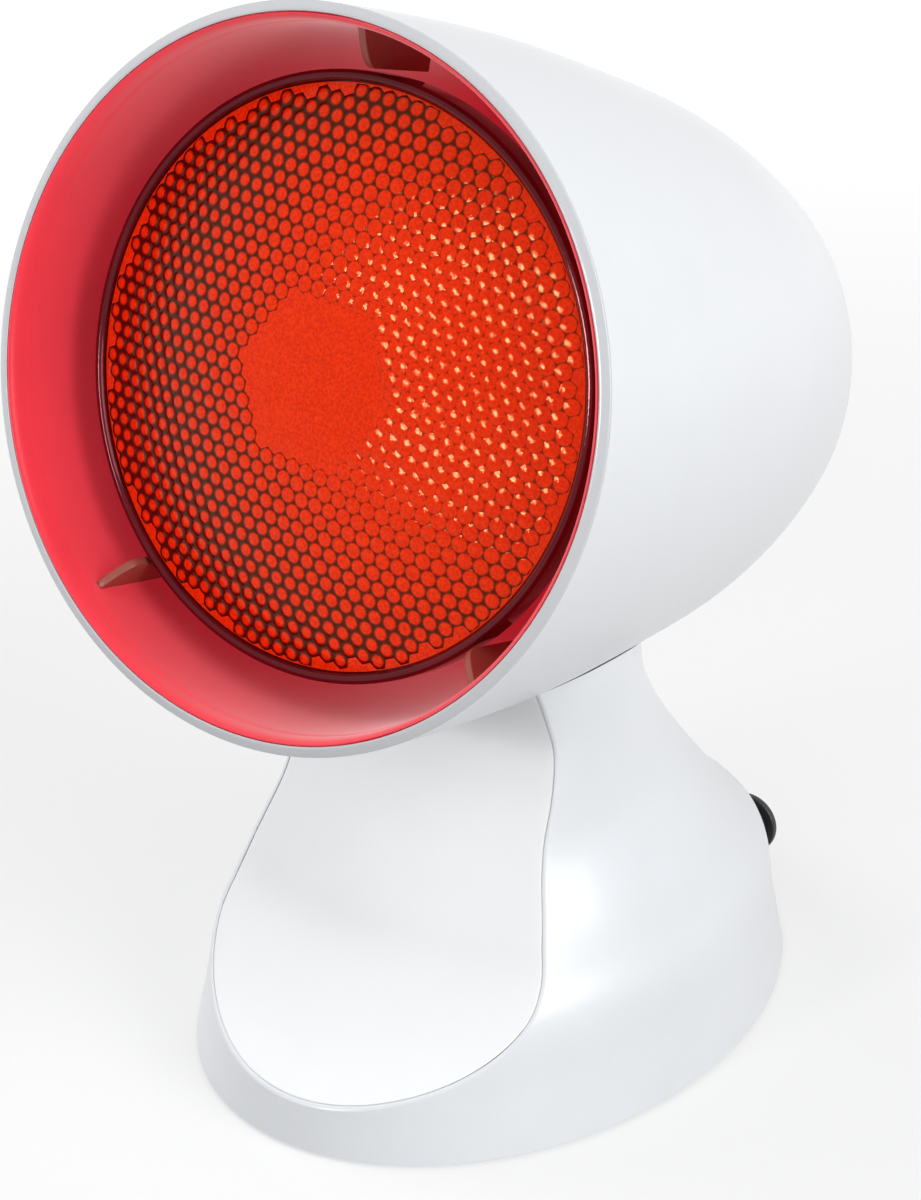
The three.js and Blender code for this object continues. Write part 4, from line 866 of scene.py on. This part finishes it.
# %% Stand surfaces
STAND_HALF_WIDTH = 0.061
STAND_HALF_DEPTH = 0.081
STAND_HEIGHT = 0.1
STAND_TOP = 0.106
SKIRT_LIFT = 0.0008
STAND_SHARES = [
    (0, 1, 1, 0), (0.1425, 0.953, 0.965, 0), (0.285, 0.907, 0.93, 0), (0.36, 0.856, 0.845, -0.019),
    (0.44, 0.802, 0.765, -0.037), (0.61, 0.669, 0.63, -0.074), (0.73, 0.633, 0.545, -0.105),
    (0.85, 0.623, 0.481, -0.136), (1, 0.631, 0.494, -0.185), (1.12, 0.64, 0.51, -0.23),
]
PANEL_SHARES = [
    (0, -1.12), (0.108, -0.973), (0.181, -0.853), (0.246, -0.763), (0.35, -0.643), (0.437, -0.585),
    (0.53, -0.524), (0.61, -0.475), (0.72, -0.427), (0.83, -0.415), (0.9, -0.441), (1, -0.495),
    (1.12, -0.56),
]
PANEL_CROWN = 0.0076
PANEL_CROWN_WIDTH = 0.039
PANEL_THICKNESS = 0.0026


def read_shares(table, key):
    """Smooth cubic reading of a table whose first column is the key."""
    keys = [row[0] for row in table]
    i = min(max(bisect_right(keys, key), 1), len(keys) - 1)
    t0, t1 = keys[i - 1], keys[i]
    before, before_key = (i - 2, keys[i - 2]) if i > 1 else (i, t1)
    after, after_key = (i + 1, keys[i + 1]) if i + 1 < len(keys) else (i - 1, t0)
    half_step = (t1 - t0) / 2
    wp, wn = half_step / (t0 - before_key), half_step / (after_key - t1)
    p = (key - t0) / (t1 - t0)
    weights = (
        -wp * p**3 + 2 * wp * p**2 - wp * p,
        (1 + wp) * p**3 - (1.5 + 2 * wp) * p**2 + (wp - 0.5) * p + 1,
        -(1 + wn) * p**3 + (1.5 + wn) * p**2 + p / 2,
        wn * (p**3 - p**2),
    )
    rows = [table[n][1:] for n in (before, i - 1, i, after)]
    return [sum(w * row[c] for w, row in zip(weights, rows)) for c in range(len(rows[0]))]


def skirt(turn, height, inset=0):
    """A point on the oval skirt and neck."""
    width, depth, shift = read_shares(STAND_SHARES, height / STAND_HEIGHT)
    x = (width * STAND_HALF_WIDTH - inset) * math.cos(turn)
    y = shift * STAND_HALF_DEPTH + (depth * STAND_HALF_DEPTH - inset) * math.sin(turn)
    return Vector((x, y, height))


def face(x, height, back=0):
    """A point on the curved front that the panel lies in."""
    centre = read_shares(PANEL_SHARES, height / STAND_HEIGHT)[0]
    y = centre * STAND_HALF_DEPTH + PANEL_CROWN * (x / PANEL_CROWN_WIDTH) ** 2 + back
    return Vector((x, y, height))


def halved(test, low, high, tries=40):
    """The value between low and high where test turns from negative to positive."""
    for _ in range(tries):
        middle = (low + high) / 2
        low, high = (middle, high) if test(middle) < 0 else (low, middle)
    return (low + high) / 2


FRONT = -math.pi / 2
PANEL_FOOT = halved(lambda z: face(0, z).y - skirt(FRONT, z).y, 0, 0.03)
print("the panel starts", round(PANEL_FOOT * 1000, 2), "mm above the table")

# %% [markdown]
# The panel's outline is the line where the skirt meets the curved front. At each height the angle of that
# point is found by halving. The edge of the housing is then laid along this line: a small round, a narrow
# land, and a step down into the rebate that takes the panel. Because the grid of faces follows the line, the
# edge stays crisp.

# %% The line where skirt and front meet
CREASE_ROUND = 0.0005
LAND = 0.0007
NUDGE = 0.00002
EASE = 1.8
ROWS = 84
COLUMNS = 120


def crease(share):
    """The place on the crease, with the ways along the skirt and along the front, and the skirt's slopes."""
    height = PANEL_FOOT + (STAND_TOP - PANEL_FOOT) * share**EASE
    turn = FRONT
    if share:
        turn = halved(lambda u: skirt(u, height).y - face(skirt(u, height).x, height).y, FRONT, 0)
    here = skirt(turn, height)
    around = skirt(turn + NUDGE, height) - skirt(turn - NUDGE, height)
    upward = skirt(turn, height + NUDGE) - skirt(turn, height - NUDGE)
    out = around.cross(upward).normalized()
    across = face(here.x + NUDGE, height) - face(here.x - NUDGE, height)
    lift = face(here.x, height + NUDGE) - face(here.x, height - NUDGE)
    ahead = across.cross(lift).normalized()
    along = out.cross(ahead).normalized()
    on_skirt = along.cross(out)
    on_skirt *= -math.copysign(1, on_skirt.dot(ahead))
    on_face = along.cross(ahead)
    on_face *= -math.copysign(1, on_face.dot(out))
    return here, turn, height, on_skirt, on_face, around / (2 * NUDGE), upward / (2 * NUDGE)


def skirt_start(share):
    """Angle and height where the skirt begins, a round's width away from the crease."""
    _, turn, height, on_skirt, _, around, upward = crease(share)
    aa, au, uu = around.dot(around), around.dot(upward), upward.dot(upward)
    da, du = on_skirt.dot(around), on_skirt.dot(upward)
    step = CREASE_ROUND / (aa * uu - au * au)
    return turn + step * (da * uu - du * au), height + step * (du * aa - da * au)


def mirrored(points):
    return [Vector((-p.x, p.y, p.z)) for p in points]


# %% [markdown]
# The housing is built as one closed block from rows of points: whole rings below the panel's foot, and above
# it rows that run from the panel's right edge round the back to its left edge and return across the floor of
# the rebate.

# %% Housing block
RINGS = 14
FLOOR_COLUMNS = 16
REBATE = PANEL_THICKNESS + GAP


def edge_strip(share):
    """Points from the skirt over the rounded crease and the land to the floor of the rebate."""
    here, _, _, _, on_face, _, _ = crease(share)
    land = here + on_face * LAND
    land = face(land.x, land.z)
    drop = Vector((0, REBATE, 0))
    strip = bend(skirt(*skirt_start(share)), here, here + on_face * CREASE_ROUND)
    strip += bend(land - on_face * EDGE / 4, land, land + drop * 0.1, 2)
    return [*strip, land + drop]


def housing_block():
    points, starts = [], []
    first_height = skirt_start(0)[1]
    for i in range(RINGS):
        height = SKIRT_LIFT + (first_height - SKIRT_LIFT) * i / RINGS
        starts.append(len(points))
        points += [skirt(FRONT + 2 * math.pi * j / COLUMNS, height) for j in range(COLUMNS + 1)]
    for k in range(ROWS + 1):
        strip = edge_strip(k / ROWS)
        turn, height = skirt_start(k / ROWS)
        turn = turn if k else FRONT
        around = [skirt(turn + (math.pi - 2 * turn) * j / COLUMNS, height) for j in range(1, COLUMNS)]
        end = strip[-1]
        shares = [2 * j / FLOOR_COLUMNS - 1 for j in range(1, FLOOR_COLUMNS)]
        row = [*strip[::-1], *around, *mirrored(strip), *[face(end.x * t, end.z, REBATE) for t in shares]]
        starts.append(len(points))
        points += row
    faces = []
    for near, far in zip(starts[:RINGS - 1], starts[1:RINGS]):
        faces += band(near, far, COLUMNS + 1, closed=False)
    faces += band(starts[RINGS - 1], starts[RINGS] + len(strip) - 1, COLUMNS + 1, closed=False)
    for near, far in zip(starts[RINGS:], starts[RINGS + 1:]):
        faces += band(near, far, len(row))
    foot = len(points)
    points += [Vector((0, 0, SKIRT_LIFT)), Vector((0, -STAND_HALF_DEPTH * 0.2, STAND_TOP))]
    faces += [(j + 1, j, foot) for j in range(COLUMNS)]
    faces += [(starts[-1] + j, starts[-1] + (j + 1) % len(row), foot + 1) for j in range(len(row))]
    return points, faces


housing = build("housing", *housing_block())
print("housing block", len(housing.data.polygons), "faces")

# %% [markdown]
# The rest of the housing is cut with Booleans. Their tools are made from the same lines as the pieces and
# only shifted, so that a wall or a gap stays even: the head's shape, the stand's own skirt, all the room in
# front of the panel, and plain boxes.

# %% Cutting tools
HINGE = Vector((0, 0.018, 0.0775))
TILT_RANGE = math.radians(28)
NOTCH_LOW = (-0.0094, -0.002, 0.066)
BEHIND = 0.09
TOOL_SPIN = 96
TOOL_STEPS = 40
STAND_WALL = 0.0024


def head_tool(distance, tilt=0):
    swing = Matrix.Translation(HINGE) @ Matrix.Rotation(-tilt, 4, "X") @ Matrix.Translation(-HINGE)
    line = offset(SHELL_LINE[::3], distance)
    outline = [(0, line[0][1]), *line[:-1], (0, line[-1][1])]
    return build("head_tool", *turned(outline, TOOL_SPIN), swing @ HEAD)


def stand_tool(inset, low):
    points, faces = [], []
    for i in range(TOOL_STEPS + 1):
        height = low + (STAND_TOP + GAP - low) * i / TOOL_STEPS
        row = [skirt(2 * math.pi * j / COLUMNS, max(height, 0), inset) for j in range(COLUMNS)]
        points += [(p.x, p.y, height) for p in row]
    for i in range(TOOL_STEPS):
        faces += band(i * COLUMNS, (i + 1) * COLUMNS, COLUMNS)
    faces += [tuple(range(COLUMNS))[::-1], tuple(range(TOOL_STEPS * COLUMNS, (TOOL_STEPS + 1) * COLUMNS))]
    return build("stand_tool", points, faces)


def front_tool(back, columns=12):
    """All the room in front of the curved front, shifted back."""
    points, faces = [], []
    for near in (0, 1):
        for i in range(TOOL_STEPS + 1):
            height = (STAND_TOP + 2 * GAP) * i / TOOL_STEPS
            for j in range(columns + 1):
                point = face(STAND_HALF_WIDTH * (2 * j / columns - 1), height, back)
                points.append(point if near else (point.x, -2 * STAND_HALF_DEPTH, height))
    row, layer = columns + 1, (columns + 1) * (TOOL_STEPS + 1)
    for i in range(TOOL_STEPS):
        for a in range(i * row, i * row + columns):
            quad = (a, a + 1, a + row + 1, a + row)
            faces += [quad, tuple(layer + n for n in quad[::-1])]
        for a in (i * row, i * row + columns):
            faces.append((a, a + row, layer + a + row, layer + a))
    for i in (0, TOOL_STEPS):
        faces += [(a, a + 1, layer + a + 1, layer + a) for a in range(i * row, i * row + columns)]
    return build("front_tool", points, faces)


def box_tool(low, high):
    corners = [(x, y, z) for x in (low[0], high[0]) for y in (low[1], high[1]) for z in (low[2], high[2])]
    sides = [(0, 1, 3, 2), (4, 6, 7, 5), (0, 4, 5, 1), (2, 3, 7, 6), (0, 2, 6, 4), (1, 5, 7, 3)]
    return build("box_tool", corners, sides)


# %% [markdown]
# First the hollow is cut out of the block. Then the head's shape is cut away at five tilts, which leaves the
# room that it sweeps through as it moves, and last the notch for the hinge at the back of the neck.

# %% Cutting the housing
hollow = stand_tool(STAND_WALL, -0.004)
cut(hollow, head_tool(RUNNING_GAP + STAND_WALL))
cut(hollow, front_tool(REBATE + STAND_WALL))
cut(housing, hollow)
for share in (0, 0.25, 0.5, 0.75, 1):
    cut(housing, head_tool(RUNNING_GAP, share * TILT_RANGE))
cut(housing, box_tool(NOTCH_LOW, (-NOTCH_LOW[0], BEHIND, 0.12)))
print("housing cut to", len(housing.data.polygons), "faces")

# %% [markdown]
# The switch and the gland sit in the back of the skirt. Their places are read from the designed solids'
# boxes, so that each pocket follows the part that it holds, with the usual small gap.

# %% Pockets at the back
GLAND_HOLE = 0.009
SWITCH_SEAT = 0.0025
GLAND_SEAT = 0.0029

low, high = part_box("switch_body")
cut(housing, box_tool(
    (low.x - GAP, high.y - SWITCH_SEAT, low.z - GAP), (high.x + GAP, BEHIND, high.z + GAP),
))
gland_low, gland_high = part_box("cable_gland")
gland_seat = gland_high.y - GLAND_SEAT
gland_place = Matrix.Translation(((gland_low.x + gland_high.x) / 2, 0, (gland_low.z + gland_high.z) / 2))
gland_hole = [(0, gland_seat), (GLAND_HOLE, gland_seat), (GLAND_HOLE, BEHIND), (0, BEHIND)]
cut(housing, build("rod_tool", *turned(gland_hole, 48), gland_place))
fit(housing, "stand", "shell_white", "white_gloss", "stand_housing")

# %% [markdown]
# The front panel is a separate bright moulding that lies in the rebate with a fine joint round it. Its grid
# of points runs inside the same crease, so its rounded edge keeps an even distance from the housing's.

# %% Front panel
PANEL_INSET = LAND + SEAM
PANEL_ROUND = 0.0005
PANEL_SINK = 0.00005
PANEL_COLUMNS = 40
PANEL_BACK_COLUMNS = 16


def panel_edge(share):
    """Points from the panel's face over its rounded edge to its back."""
    here, _, _, _, on_face, _, _ = crease(share)
    places = [here + on_face * inset for inset in (PANEL_INSET, PANEL_INSET + PANEL_ROUND)]
    corner, inside = (face(p.x, p.z, PANEL_SINK) for p in places)
    drop = Vector((0, PANEL_ROUND, 0))
    return [*bend(inside, corner, corner + drop), corner + Vector((0, PANEL_THICKNESS - PANEL_SINK, 0))]


def panel_block():
    points, faces = [], []
    for k in range(ROWS + 1):
        edge = panel_edge(k / ROWS)
        first, last = edge[0], edge[-1]
        ahead = [1 - 2 * j / PANEL_COLUMNS for j in range(1, PANEL_COLUMNS)]
        behind = [2 * j / PANEL_BACK_COLUMNS - 1 for j in range(1, PANEL_BACK_COLUMNS)]
        row = [*edge[::-1], *[face(first.x * t, first.z, PANEL_SINK) for t in ahead]]
        row += [*mirrored(edge), *[face(last.x * t, last.z, PANEL_THICKNESS) for t in behind]]
        points += row
    size = len(row)
    for k in range(ROWS):
        faces += band(k * size, (k + 1) * size, size)
    top = len(points)
    points.append(face(0, STAND_TOP, PANEL_THICKNESS / 2))
    faces += [(ROWS * size + j, ROWS * size + (j + 1) % size, top) for j in range(size)]
    return points, faces


panel = build("panel", *panel_block())
for share in (0, 0.5, 1):
    cut(panel, head_tool(RUNNING_GAP, share * TILT_RANGE))
fit(panel, "stand", "panel_white_painted_light", "white_panel", "front_panel")

# %% [markdown]
# The remaining parts keep their designed shapes, but a machined or moulded part never has a perfectly sharp
# edge. One function copies a solid, welds its loose triangles, joins those that are flat together and breaks
# every edge with a small bevel.

# %% Parts with broken edges
FLAT = math.radians(1)
PARTS = [
    ("stand", "dark_plastic", "dark_plastic", 0.0004, "bottom_cover cord_clamp gland_nut"),
    ("stand", "plated_steel", "steel", 0.0002, "ballast_plate hinge_yoke hinge_pin hinge_nut index_spring"),
    ("stand", "plated_steel", "steel", 0.0002, "hinge_washer_left hinge_washer_right"),
    ("stand", "brass", "brass", 0.0001, "friction_washer_left friction_washer_right"),
    ("stand", "lead_sleeve", "insulation", 0.0003, "terminal_block"),
    ("stand", "lead_sleeve", "insulation", 0, "stand_lead"),
    ("head", "plated_steel", "steel", 0.0003, "tilt_arm index_plate socket_bracket"),
    ("head", "brass", "brass", 0.0001, "socket_sleeve socket_contact"),
    ("head", "lead_sleeve", "insulation", 0, "head_lead"),
    ("bulb", "lead_sleeve", "insulation", 0.0002, "filament_stem"),
    ("bulb_contact", "dark_plastic", "dark_plastic", 0.0003, "bulb_tip"),
]


def dressed(node, width):
    piece = link(bpy.data.objects.new(node + "_part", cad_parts[node].data.copy()))
    work = bmesh.new()
    work.from_mesh(piece.data)
    bmesh.ops.remove_doubles(work, verts=work.verts, dist=WELD)
    bmesh.ops.dissolve_limit(work, angle_limit=FLAT, verts=work.verts, edges=work.edges)
    work.to_mesh(piece.data)
    work.free()
    return softened(piece, width) if width else piece


for body, finish, slot, width, names in PARTS:
    for node in names.split():
        fit(dressed(node, width), body, finish, slot, node)

# %% [markdown]
# Turned parts of the bulb and its socket are drawn finely from the same sizes as their solids: the screw cap
# with its rolled thread, which really winds round, and the glazed ceramic body with eased edges.

# %% Screw cap and socket
CAP_RADIUS = 0.0132
CAP_WALL = 0.0009
CAP_FRONT = 0.1003
CAP_FLANGE = 0.0145
CAP_FLANGE_DEPTH = 0.0024
CAP_END = 0.127
CAP_TAPER = (0.0118, 0.0096)
THREAD_PITCH = 0.00363
THREAD_DEPTH = 0.0008
THREAD_TURNS = 5
THREAD_START = CAP_FRONT + 0.0029
THREAD_END = THREAD_START + THREAD_TURNS * THREAD_PITCH


def cap_grid(steps=72, rows_per_turn=10):
    """A sleeve whose radius follows a helical wave, closed at its ends by an inner sleeve."""
    rows = THREAD_TURNS * rows_per_turn
    threaded = [THREAD_START + (THREAD_END - THREAD_START) * i / rows for i in range(rows + 1)]
    depths = [CAP_FRONT, CAP_FRONT + CAP_FLANGE_DEPTH, *threaded, CAP_END - 0.003, CAP_END]
    radii = dict(zip((0, 1, len(depths) - 2, len(depths) - 1), (CAP_FLANGE, CAP_FLANGE, *CAP_TAPER)))
    points, faces = [], []
    for side in (0, 1):
        for k, s in enumerate(depths):
            fade = min(1, (s - THREAD_START) / THREAD_PITCH, (THREAD_END - s) / THREAD_PITCH)
            for turn in (2 * math.pi * j / steps for j in range(steps)):
                wave = (1 - math.cos(2 * math.pi * (s - THREAD_START) / THREAD_PITCH - turn)) / 2 * max(fade, 0)
                r = radii.get(k, CAP_RADIUS - THREAD_DEPTH * (1 - wave)) - side * CAP_WALL
                points.append((r * math.cos(turn), s, r * math.sin(turn)))
    layer = len(depths) * steps
    for k in range(0, layer - steps, steps):
        faces += band(k, k + steps, steps)
        faces += [(a, d, c, b) for a, b, c, d in band(layer + k, layer + k + steps, steps)]
    for k in (0, layer - steps):
        faces += band(k, layer + k, steps)
    return points, faces


fit(build("rolled_cap", *cap_grid(), HEAD), "bulb", "brass", "brass", "screw_cap")
socket_outline = eased([
    (0.0144, 0.1036, 0.0006), (0.018, 0.1036, 0.0012), (0.021, 0.1066, 0.0012), (0.021, 0.144, 0.0012),
    (0.018, 0.147, 0.0012), (0, 0.147, 0), (0, 0.141, 0), (0.0144, 0.141, 0.0006),
])
socket = build("socket_body", *turned(socket_outline, 64), HEAD)
fit(socket, "head", "glazed_ceramic", "ceramic", "lamp_socket")

# %% [markdown]
# The filament is a coil of fine wire. A node tree follows the designed wire's path as a curve, bends it into
# a helix with sine and cosine of the place along it, and gives it a round section.

# %% Filament
FILAMENT_PATH = [
    (-0.0015, 0.0717, 0), (-0.00375, 0.0652, 0), (-0.009, 0.0587, 0), (0, 0.0613, 0),
    (0.009, 0.0587, 0), (0.00375, 0.0652, 0), (0.0015, 0.0717, 0),
]


def coiled(piece):
    tree = ShapeTree("coil", Turns=46.0, Coil_Radius=0.0006, Wire_Radius=0.00016, Points=620)
    given = tree.given
    curve = tree.put("MeshToCurve", Mesh=given["Geometry"])
    curve = tree.put("CurveSplineType", settings={"spline_type": "CATMULL_ROM"}, Curve=curve)
    curve = tree.put("ResampleCurve", Curve=curve, Count=given["Points"])
    turn = tree.times(tree.put("SplineParameter", "Factor"), given["Turns"])
    turn = tree.times(turn, 2 * math.pi)
    side, along = tree.put("InputNormal"), tree.put("InputTangent")
    across = tree.put("VectorMath", settings={"operation": "CROSS_PRODUCT"}, i0=side, i1=along)
    parts = []
    for way, wave in ((side, "SINE"), (across, "COSINE")):
        amount = tree.times(tree.sums(wave, turn), given["Coil Radius"])
        parts.append(tree.put("VectorMath", settings={"operation": "SCALE"}, i0=way, Scale=amount))
    shift = tree.put("VectorMath", settings={"operation": "ADD"}, i0=parts[0], i1=parts[1])
    curve = tree.put("SetPosition", Geometry=curve, Offset=shift)
    section = tree.put("CurvePrimitiveCircle", Resolution=5, Radius=given["Wire Radius"])
    wire = tree.put("CurveToMesh", Curve=curve, Profile_Curve=section, Fill_Caps=True)
    return tree.run(wire, piece, "tungsten")


path = bpy.data.meshes.new("filament_path")
path.from_pydata(FILAMENT_PATH, [(i, i + 1) for i in range(len(FILAMENT_PATH) - 1)], [])
wire = coiled(link(bpy.data.objects.new("filament_coil", path)))
wire.data.transform(HEAD)
fit(wire, "bulb", "tungsten", "steel", "filament")

# %% [markdown]
# All screws are one design in two sizes: a pan head with a cross recess, and a plain shank below it. Each is
# a turned outline with the cross cut out of it, and a node tree sets a copy on every place.

# %% Screws
SCREW_SIZES = {"large": (0.003, 0.002, 0.0016), "small": (0.0022, 0.0014, 0.0011)}
RECESS_WIDTH = 0.0007
RECESS_REACH = 0.66


def screw_pattern(size, head_height, length):
    """A screw along -Z whose head stands on Z = 0."""
    head_radius, _, shank = SCREW_SIZES[size]
    outline = eased([
        (0, -length, 0), (shank * 0.6, -length, 0), (shank, -length + shank * 0.5, 0), (shank, 0, 0),
        (head_radius, 0, head_height * 0.1), (head_radius, head_height * 0.45, head_height * 0.25),
        (head_radius * 0.55, head_height, head_height * 0.35), (0, head_height, 0),
    ], 3)
    points, faces = turned(outline, 28)
    screw = build("screw_" + size, [(x, -z, y) for x, y, z in points], faces)
    reach = head_radius * RECESS_REACH
    for long, wide in ((reach, RECESS_WIDTH / 2), (RECESS_WIDTH / 2, reach)):
        cut(screw, box_tool((-long, -wide, head_height * 0.35), (long, wide, head_height * 2)))
    return screw


def numbered(name, count):
    return [f"{name}_{i + 1}" for i in range(count)]


# %% [markdown]
# Upright screws take their places and lengths from the boxes of the designed ones. Those of the bottom cover
# have their heads below, and theirs are half as high.


# %% Upright screws
def upright_screws(name, body, size, count, head_down=False):
    head_height = SCREW_SIZES[size][1] / (2 if head_down else 1)
    places = []
    for node in numbered(name, count):
        low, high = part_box(node)
        z = low.z + head_height if head_down else high.z - head_height
        places.append(((low.x + high.x) / 2, (low.y + high.y) / 2, z))
    low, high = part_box(numbered(name, count)[0])
    pattern = screw_pattern(size, head_height, high.z - low.z - head_height)
    turns = [(math.pi if head_down else 0, 0, 0.7 * i) for i in range(count)]
    screws = copies(name + "s", pattern, places, turns, "plated_steel")
    fit(screws, body, "plated_steel", "steel", *numbered(name, count))


upright_screws("cover_screw", "stand", "large", 4, head_down=True)
upright_screws("ballast_screw", "stand", "small", 2)
upright_screws("clamp_screw", "stand", "small", 2)
upright_screws("yoke_screw", "stand", "large", 2)
upright_screws("arm_screw", "head", "large", 2)


# %% [markdown]
# The screws of the socket lie along the bulb's axis, where a box says too little because they are tilted.
# They are set in the head's own frame: their distance from the axis, the depth of their seat and of their
# end are the same sizes as in the design. The head is on the side away from the end.


# %% Screws along the bulb's axis
def axial_screws(name, size, x, seat, end):
    pattern = screw_pattern(size, SCREW_SIZES[size][1], abs(end - seat))
    tilt = math.copysign(math.pi / 2, end - seat)
    turns = [(tilt, 0, 0.4), (tilt, 0, -0.4)]
    screws = copies(name + "s", pattern, [(-x, seat, 0), (x, seat, 0)], turns, "plated_steel")
    screws.data.transform(HEAD)
    fit(screws, "head", "plated_steel", "steel", *numbered(name, 2))


axial_screws("bracket_screw", "large", 0.034, seat=0.147, end=0.1562)
axial_screws("socket_screw", "small", 0.009, seat=0.1494, end=0.1434)

# %% [markdown]
# The switch has a rounded bezel and a rocker with a hollow face. Both start from the designed sizes. The
# bezel's hole is cut by Boolean, and a Bevel modifier rounds every edge. The rocker's outline is drawn with a
# smooth dish and given its height.

# %% Switch
SWITCH_Z = 0.015
BEZEL = (0.0115, 0.0763, 0.0785, 0.009)
BARREL = (0.01, 0.0593, 0.0774, 0.0072)
ROCKER_ROOM = (0.009, 0.0679, 0.09, 0.0052)
ROCKER_PIVOT = Vector((0, 0.0754, SWITCH_Z))
ROCKER_HALF_WIDTH, ROCKER_HALF_HEIGHT = 0.0082, 0.0048
ROCKER_REST = math.radians(-7)
AXLE_RADIUS, AXLE_HALF = 0.0012, 0.0062


def about_switch(half_width, y0, y1, half_height):
    return box_tool((-half_width, y0, SWITCH_Z - half_height), (half_width, y1, SWITCH_Z + half_height))


bezel = softened(about_switch(*BEZEL), 0.0007, 3)
bezel.name = "switch_bezel"
cut(bezel, about_switch(*BARREL), "UNION")
cut(bezel, about_switch(*ROCKER_ROOM))
fit(bezel, "stand", "dark_plastic", "dark_plastic", "switch_body")

rocker_line = [(ROCKER_HALF_WIDTH * t, 0.0012 + 0.0012 * t * t) for t in (i / 10 - 1 for i in range(21))]
rocker_line += [(ROCKER_HALF_WIDTH, -0.001), (0.002, -0.005), (-0.002, -0.005), (-ROCKER_HALF_WIDTH, -0.001)]
paddle = softened(build("rocker_paddle", *slab(rocker_line, 2 * ROCKER_HALF_HEIGHT)), 0.0004, 3, 30)
axle_line = [(0, -AXLE_HALF), (AXLE_RADIUS, -AXLE_HALF), (AXLE_RADIUS, AXLE_HALF), (0, AXLE_HALF)]
upright = Matrix.Rotation(math.pi / 2, 4, "X")
cut(paddle, build("axle", *turned(axle_line, 24), upright), "UNION")
paddle.data.transform(Matrix.Translation(ROCKER_PIVOT) @ Matrix.Rotation(ROCKER_REST, 4, "Z"))
fit(paddle, "switch_rocker", "dark_plastic", "dark_plastic", "rocker")

# %% [markdown]
# The gland is turned about the middle of its designed box: a sleeve through the wall, and a rounded collar
# outside.

# %% Gland
collar = gland_high.y - 0.0026
gland_outline = eased([
    (0.004, gland_low.y, 0.0004), (0.0054, gland_low.y, 0.0005), (0.0054, collar, 0),
    (0.0076, collar, 0.0004), (0.0076, gland_high.y - 0.0008, 0.0008), (0.0062, gland_high.y, 0.0006),
    (0.004, gland_high.y, 0.0008),
])
gland = build("gland_body", *turned(gland_outline, 64), gland_place)
fit(gland, "stand", "dark_plastic", "dark_plastic", "cable_gland")

# %% [markdown]
# The foot is an oval rubber pad. Its underside carries a honeycomb of low studs, set by a node tree on a grid
# of points that is kept inside the oval.

# %% Foot pad
PAD_HALF_WIDTH, PAD_HALF_DEPTH = 0.048, 0.067
PAD_TOP = 0.0018
STUD_HEIGHT = 0.0006
STUD_PITCH = 0.0072
STUD_RADIUS = 0.0031
STUD_MARGIN = 0.004
STUD_LIMIT = 0.88

pad_points, pad_faces = [], []
pad_rows = [(0.0006, STUD_HEIGHT), (0, STUD_HEIGHT + 0.0004), (0, PAD_TOP - 0.0003), (0.0003, PAD_TOP)]
for inset, height in pad_rows:
    pad_points += [
        ((PAD_HALF_WIDTH - inset) * math.cos(t), (PAD_HALF_DEPTH - inset) * math.sin(t), height)
        for t in (2 * math.pi * i / COLUMNS for i in range(COLUMNS))
    ]
for k in range(3):
    pad_faces += band(k * COLUMNS, (k + 1) * COLUMNS, COLUMNS)
pad_faces += [tuple(range(COLUMNS)), tuple(range(3 * COLUMNS, 4 * COLUMNS))]


def studded(pad):
    tree = ShapeTree(
        "studs", Pitch=STUD_PITCH, Radius=STUD_RADIUS, Height=STUD_HEIGHT, Limit=STUD_LIMIT,
        Half_Width=PAD_HALF_WIDTH - STUD_MARGIN, Half_Depth=PAD_HALF_DEPTH - STUD_MARGIN,
    )
    given = tree.given
    grid, place, _ = staggered_grid(tree, PAD_HALF_WIDTH, PAD_HALF_DEPTH)
    x, y, _ = tree.put("SeparateXYZ", None, Vector=place)
    across, along = tree.over(x, given["Half Width"]), tree.over(y, given["Half Depth"])
    oval = tree.sums("ADD", tree.times(across, across), tree.times(along, along))
    grid = without(tree, grid, "GREATER_THAN", oval, given["Limit"])
    stud = tree.put(
        "MeshCone", Vertices=6, Radius_Top=given["Radius"], Radius_Bottom=tree.times(given["Radius"], 0.8),
        Depth=given["Height"],
    )
    studs = tree.put("InstanceOnPoints", Points=grid, Instance=stud)
    return tree.run(tree.put("JoinGeometry", Geometry=[studs, given["Geometry"]]), pad, "foot_rubber")


pad = studded(build("foot_pad", pad_points, pad_faces))
fit(pad, "stand", "foot_rubber", "rubber", "anti_slip_pad")

# %% [markdown]
# Last, the box of the visible pieces is set beside the frame's, both as plain lists.


# %% The two boxes, and the end
def corners(box):
    return [list(corner) for corner in box]


{"frame": corners(FRAME_BOX), "visual": corners(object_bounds())}
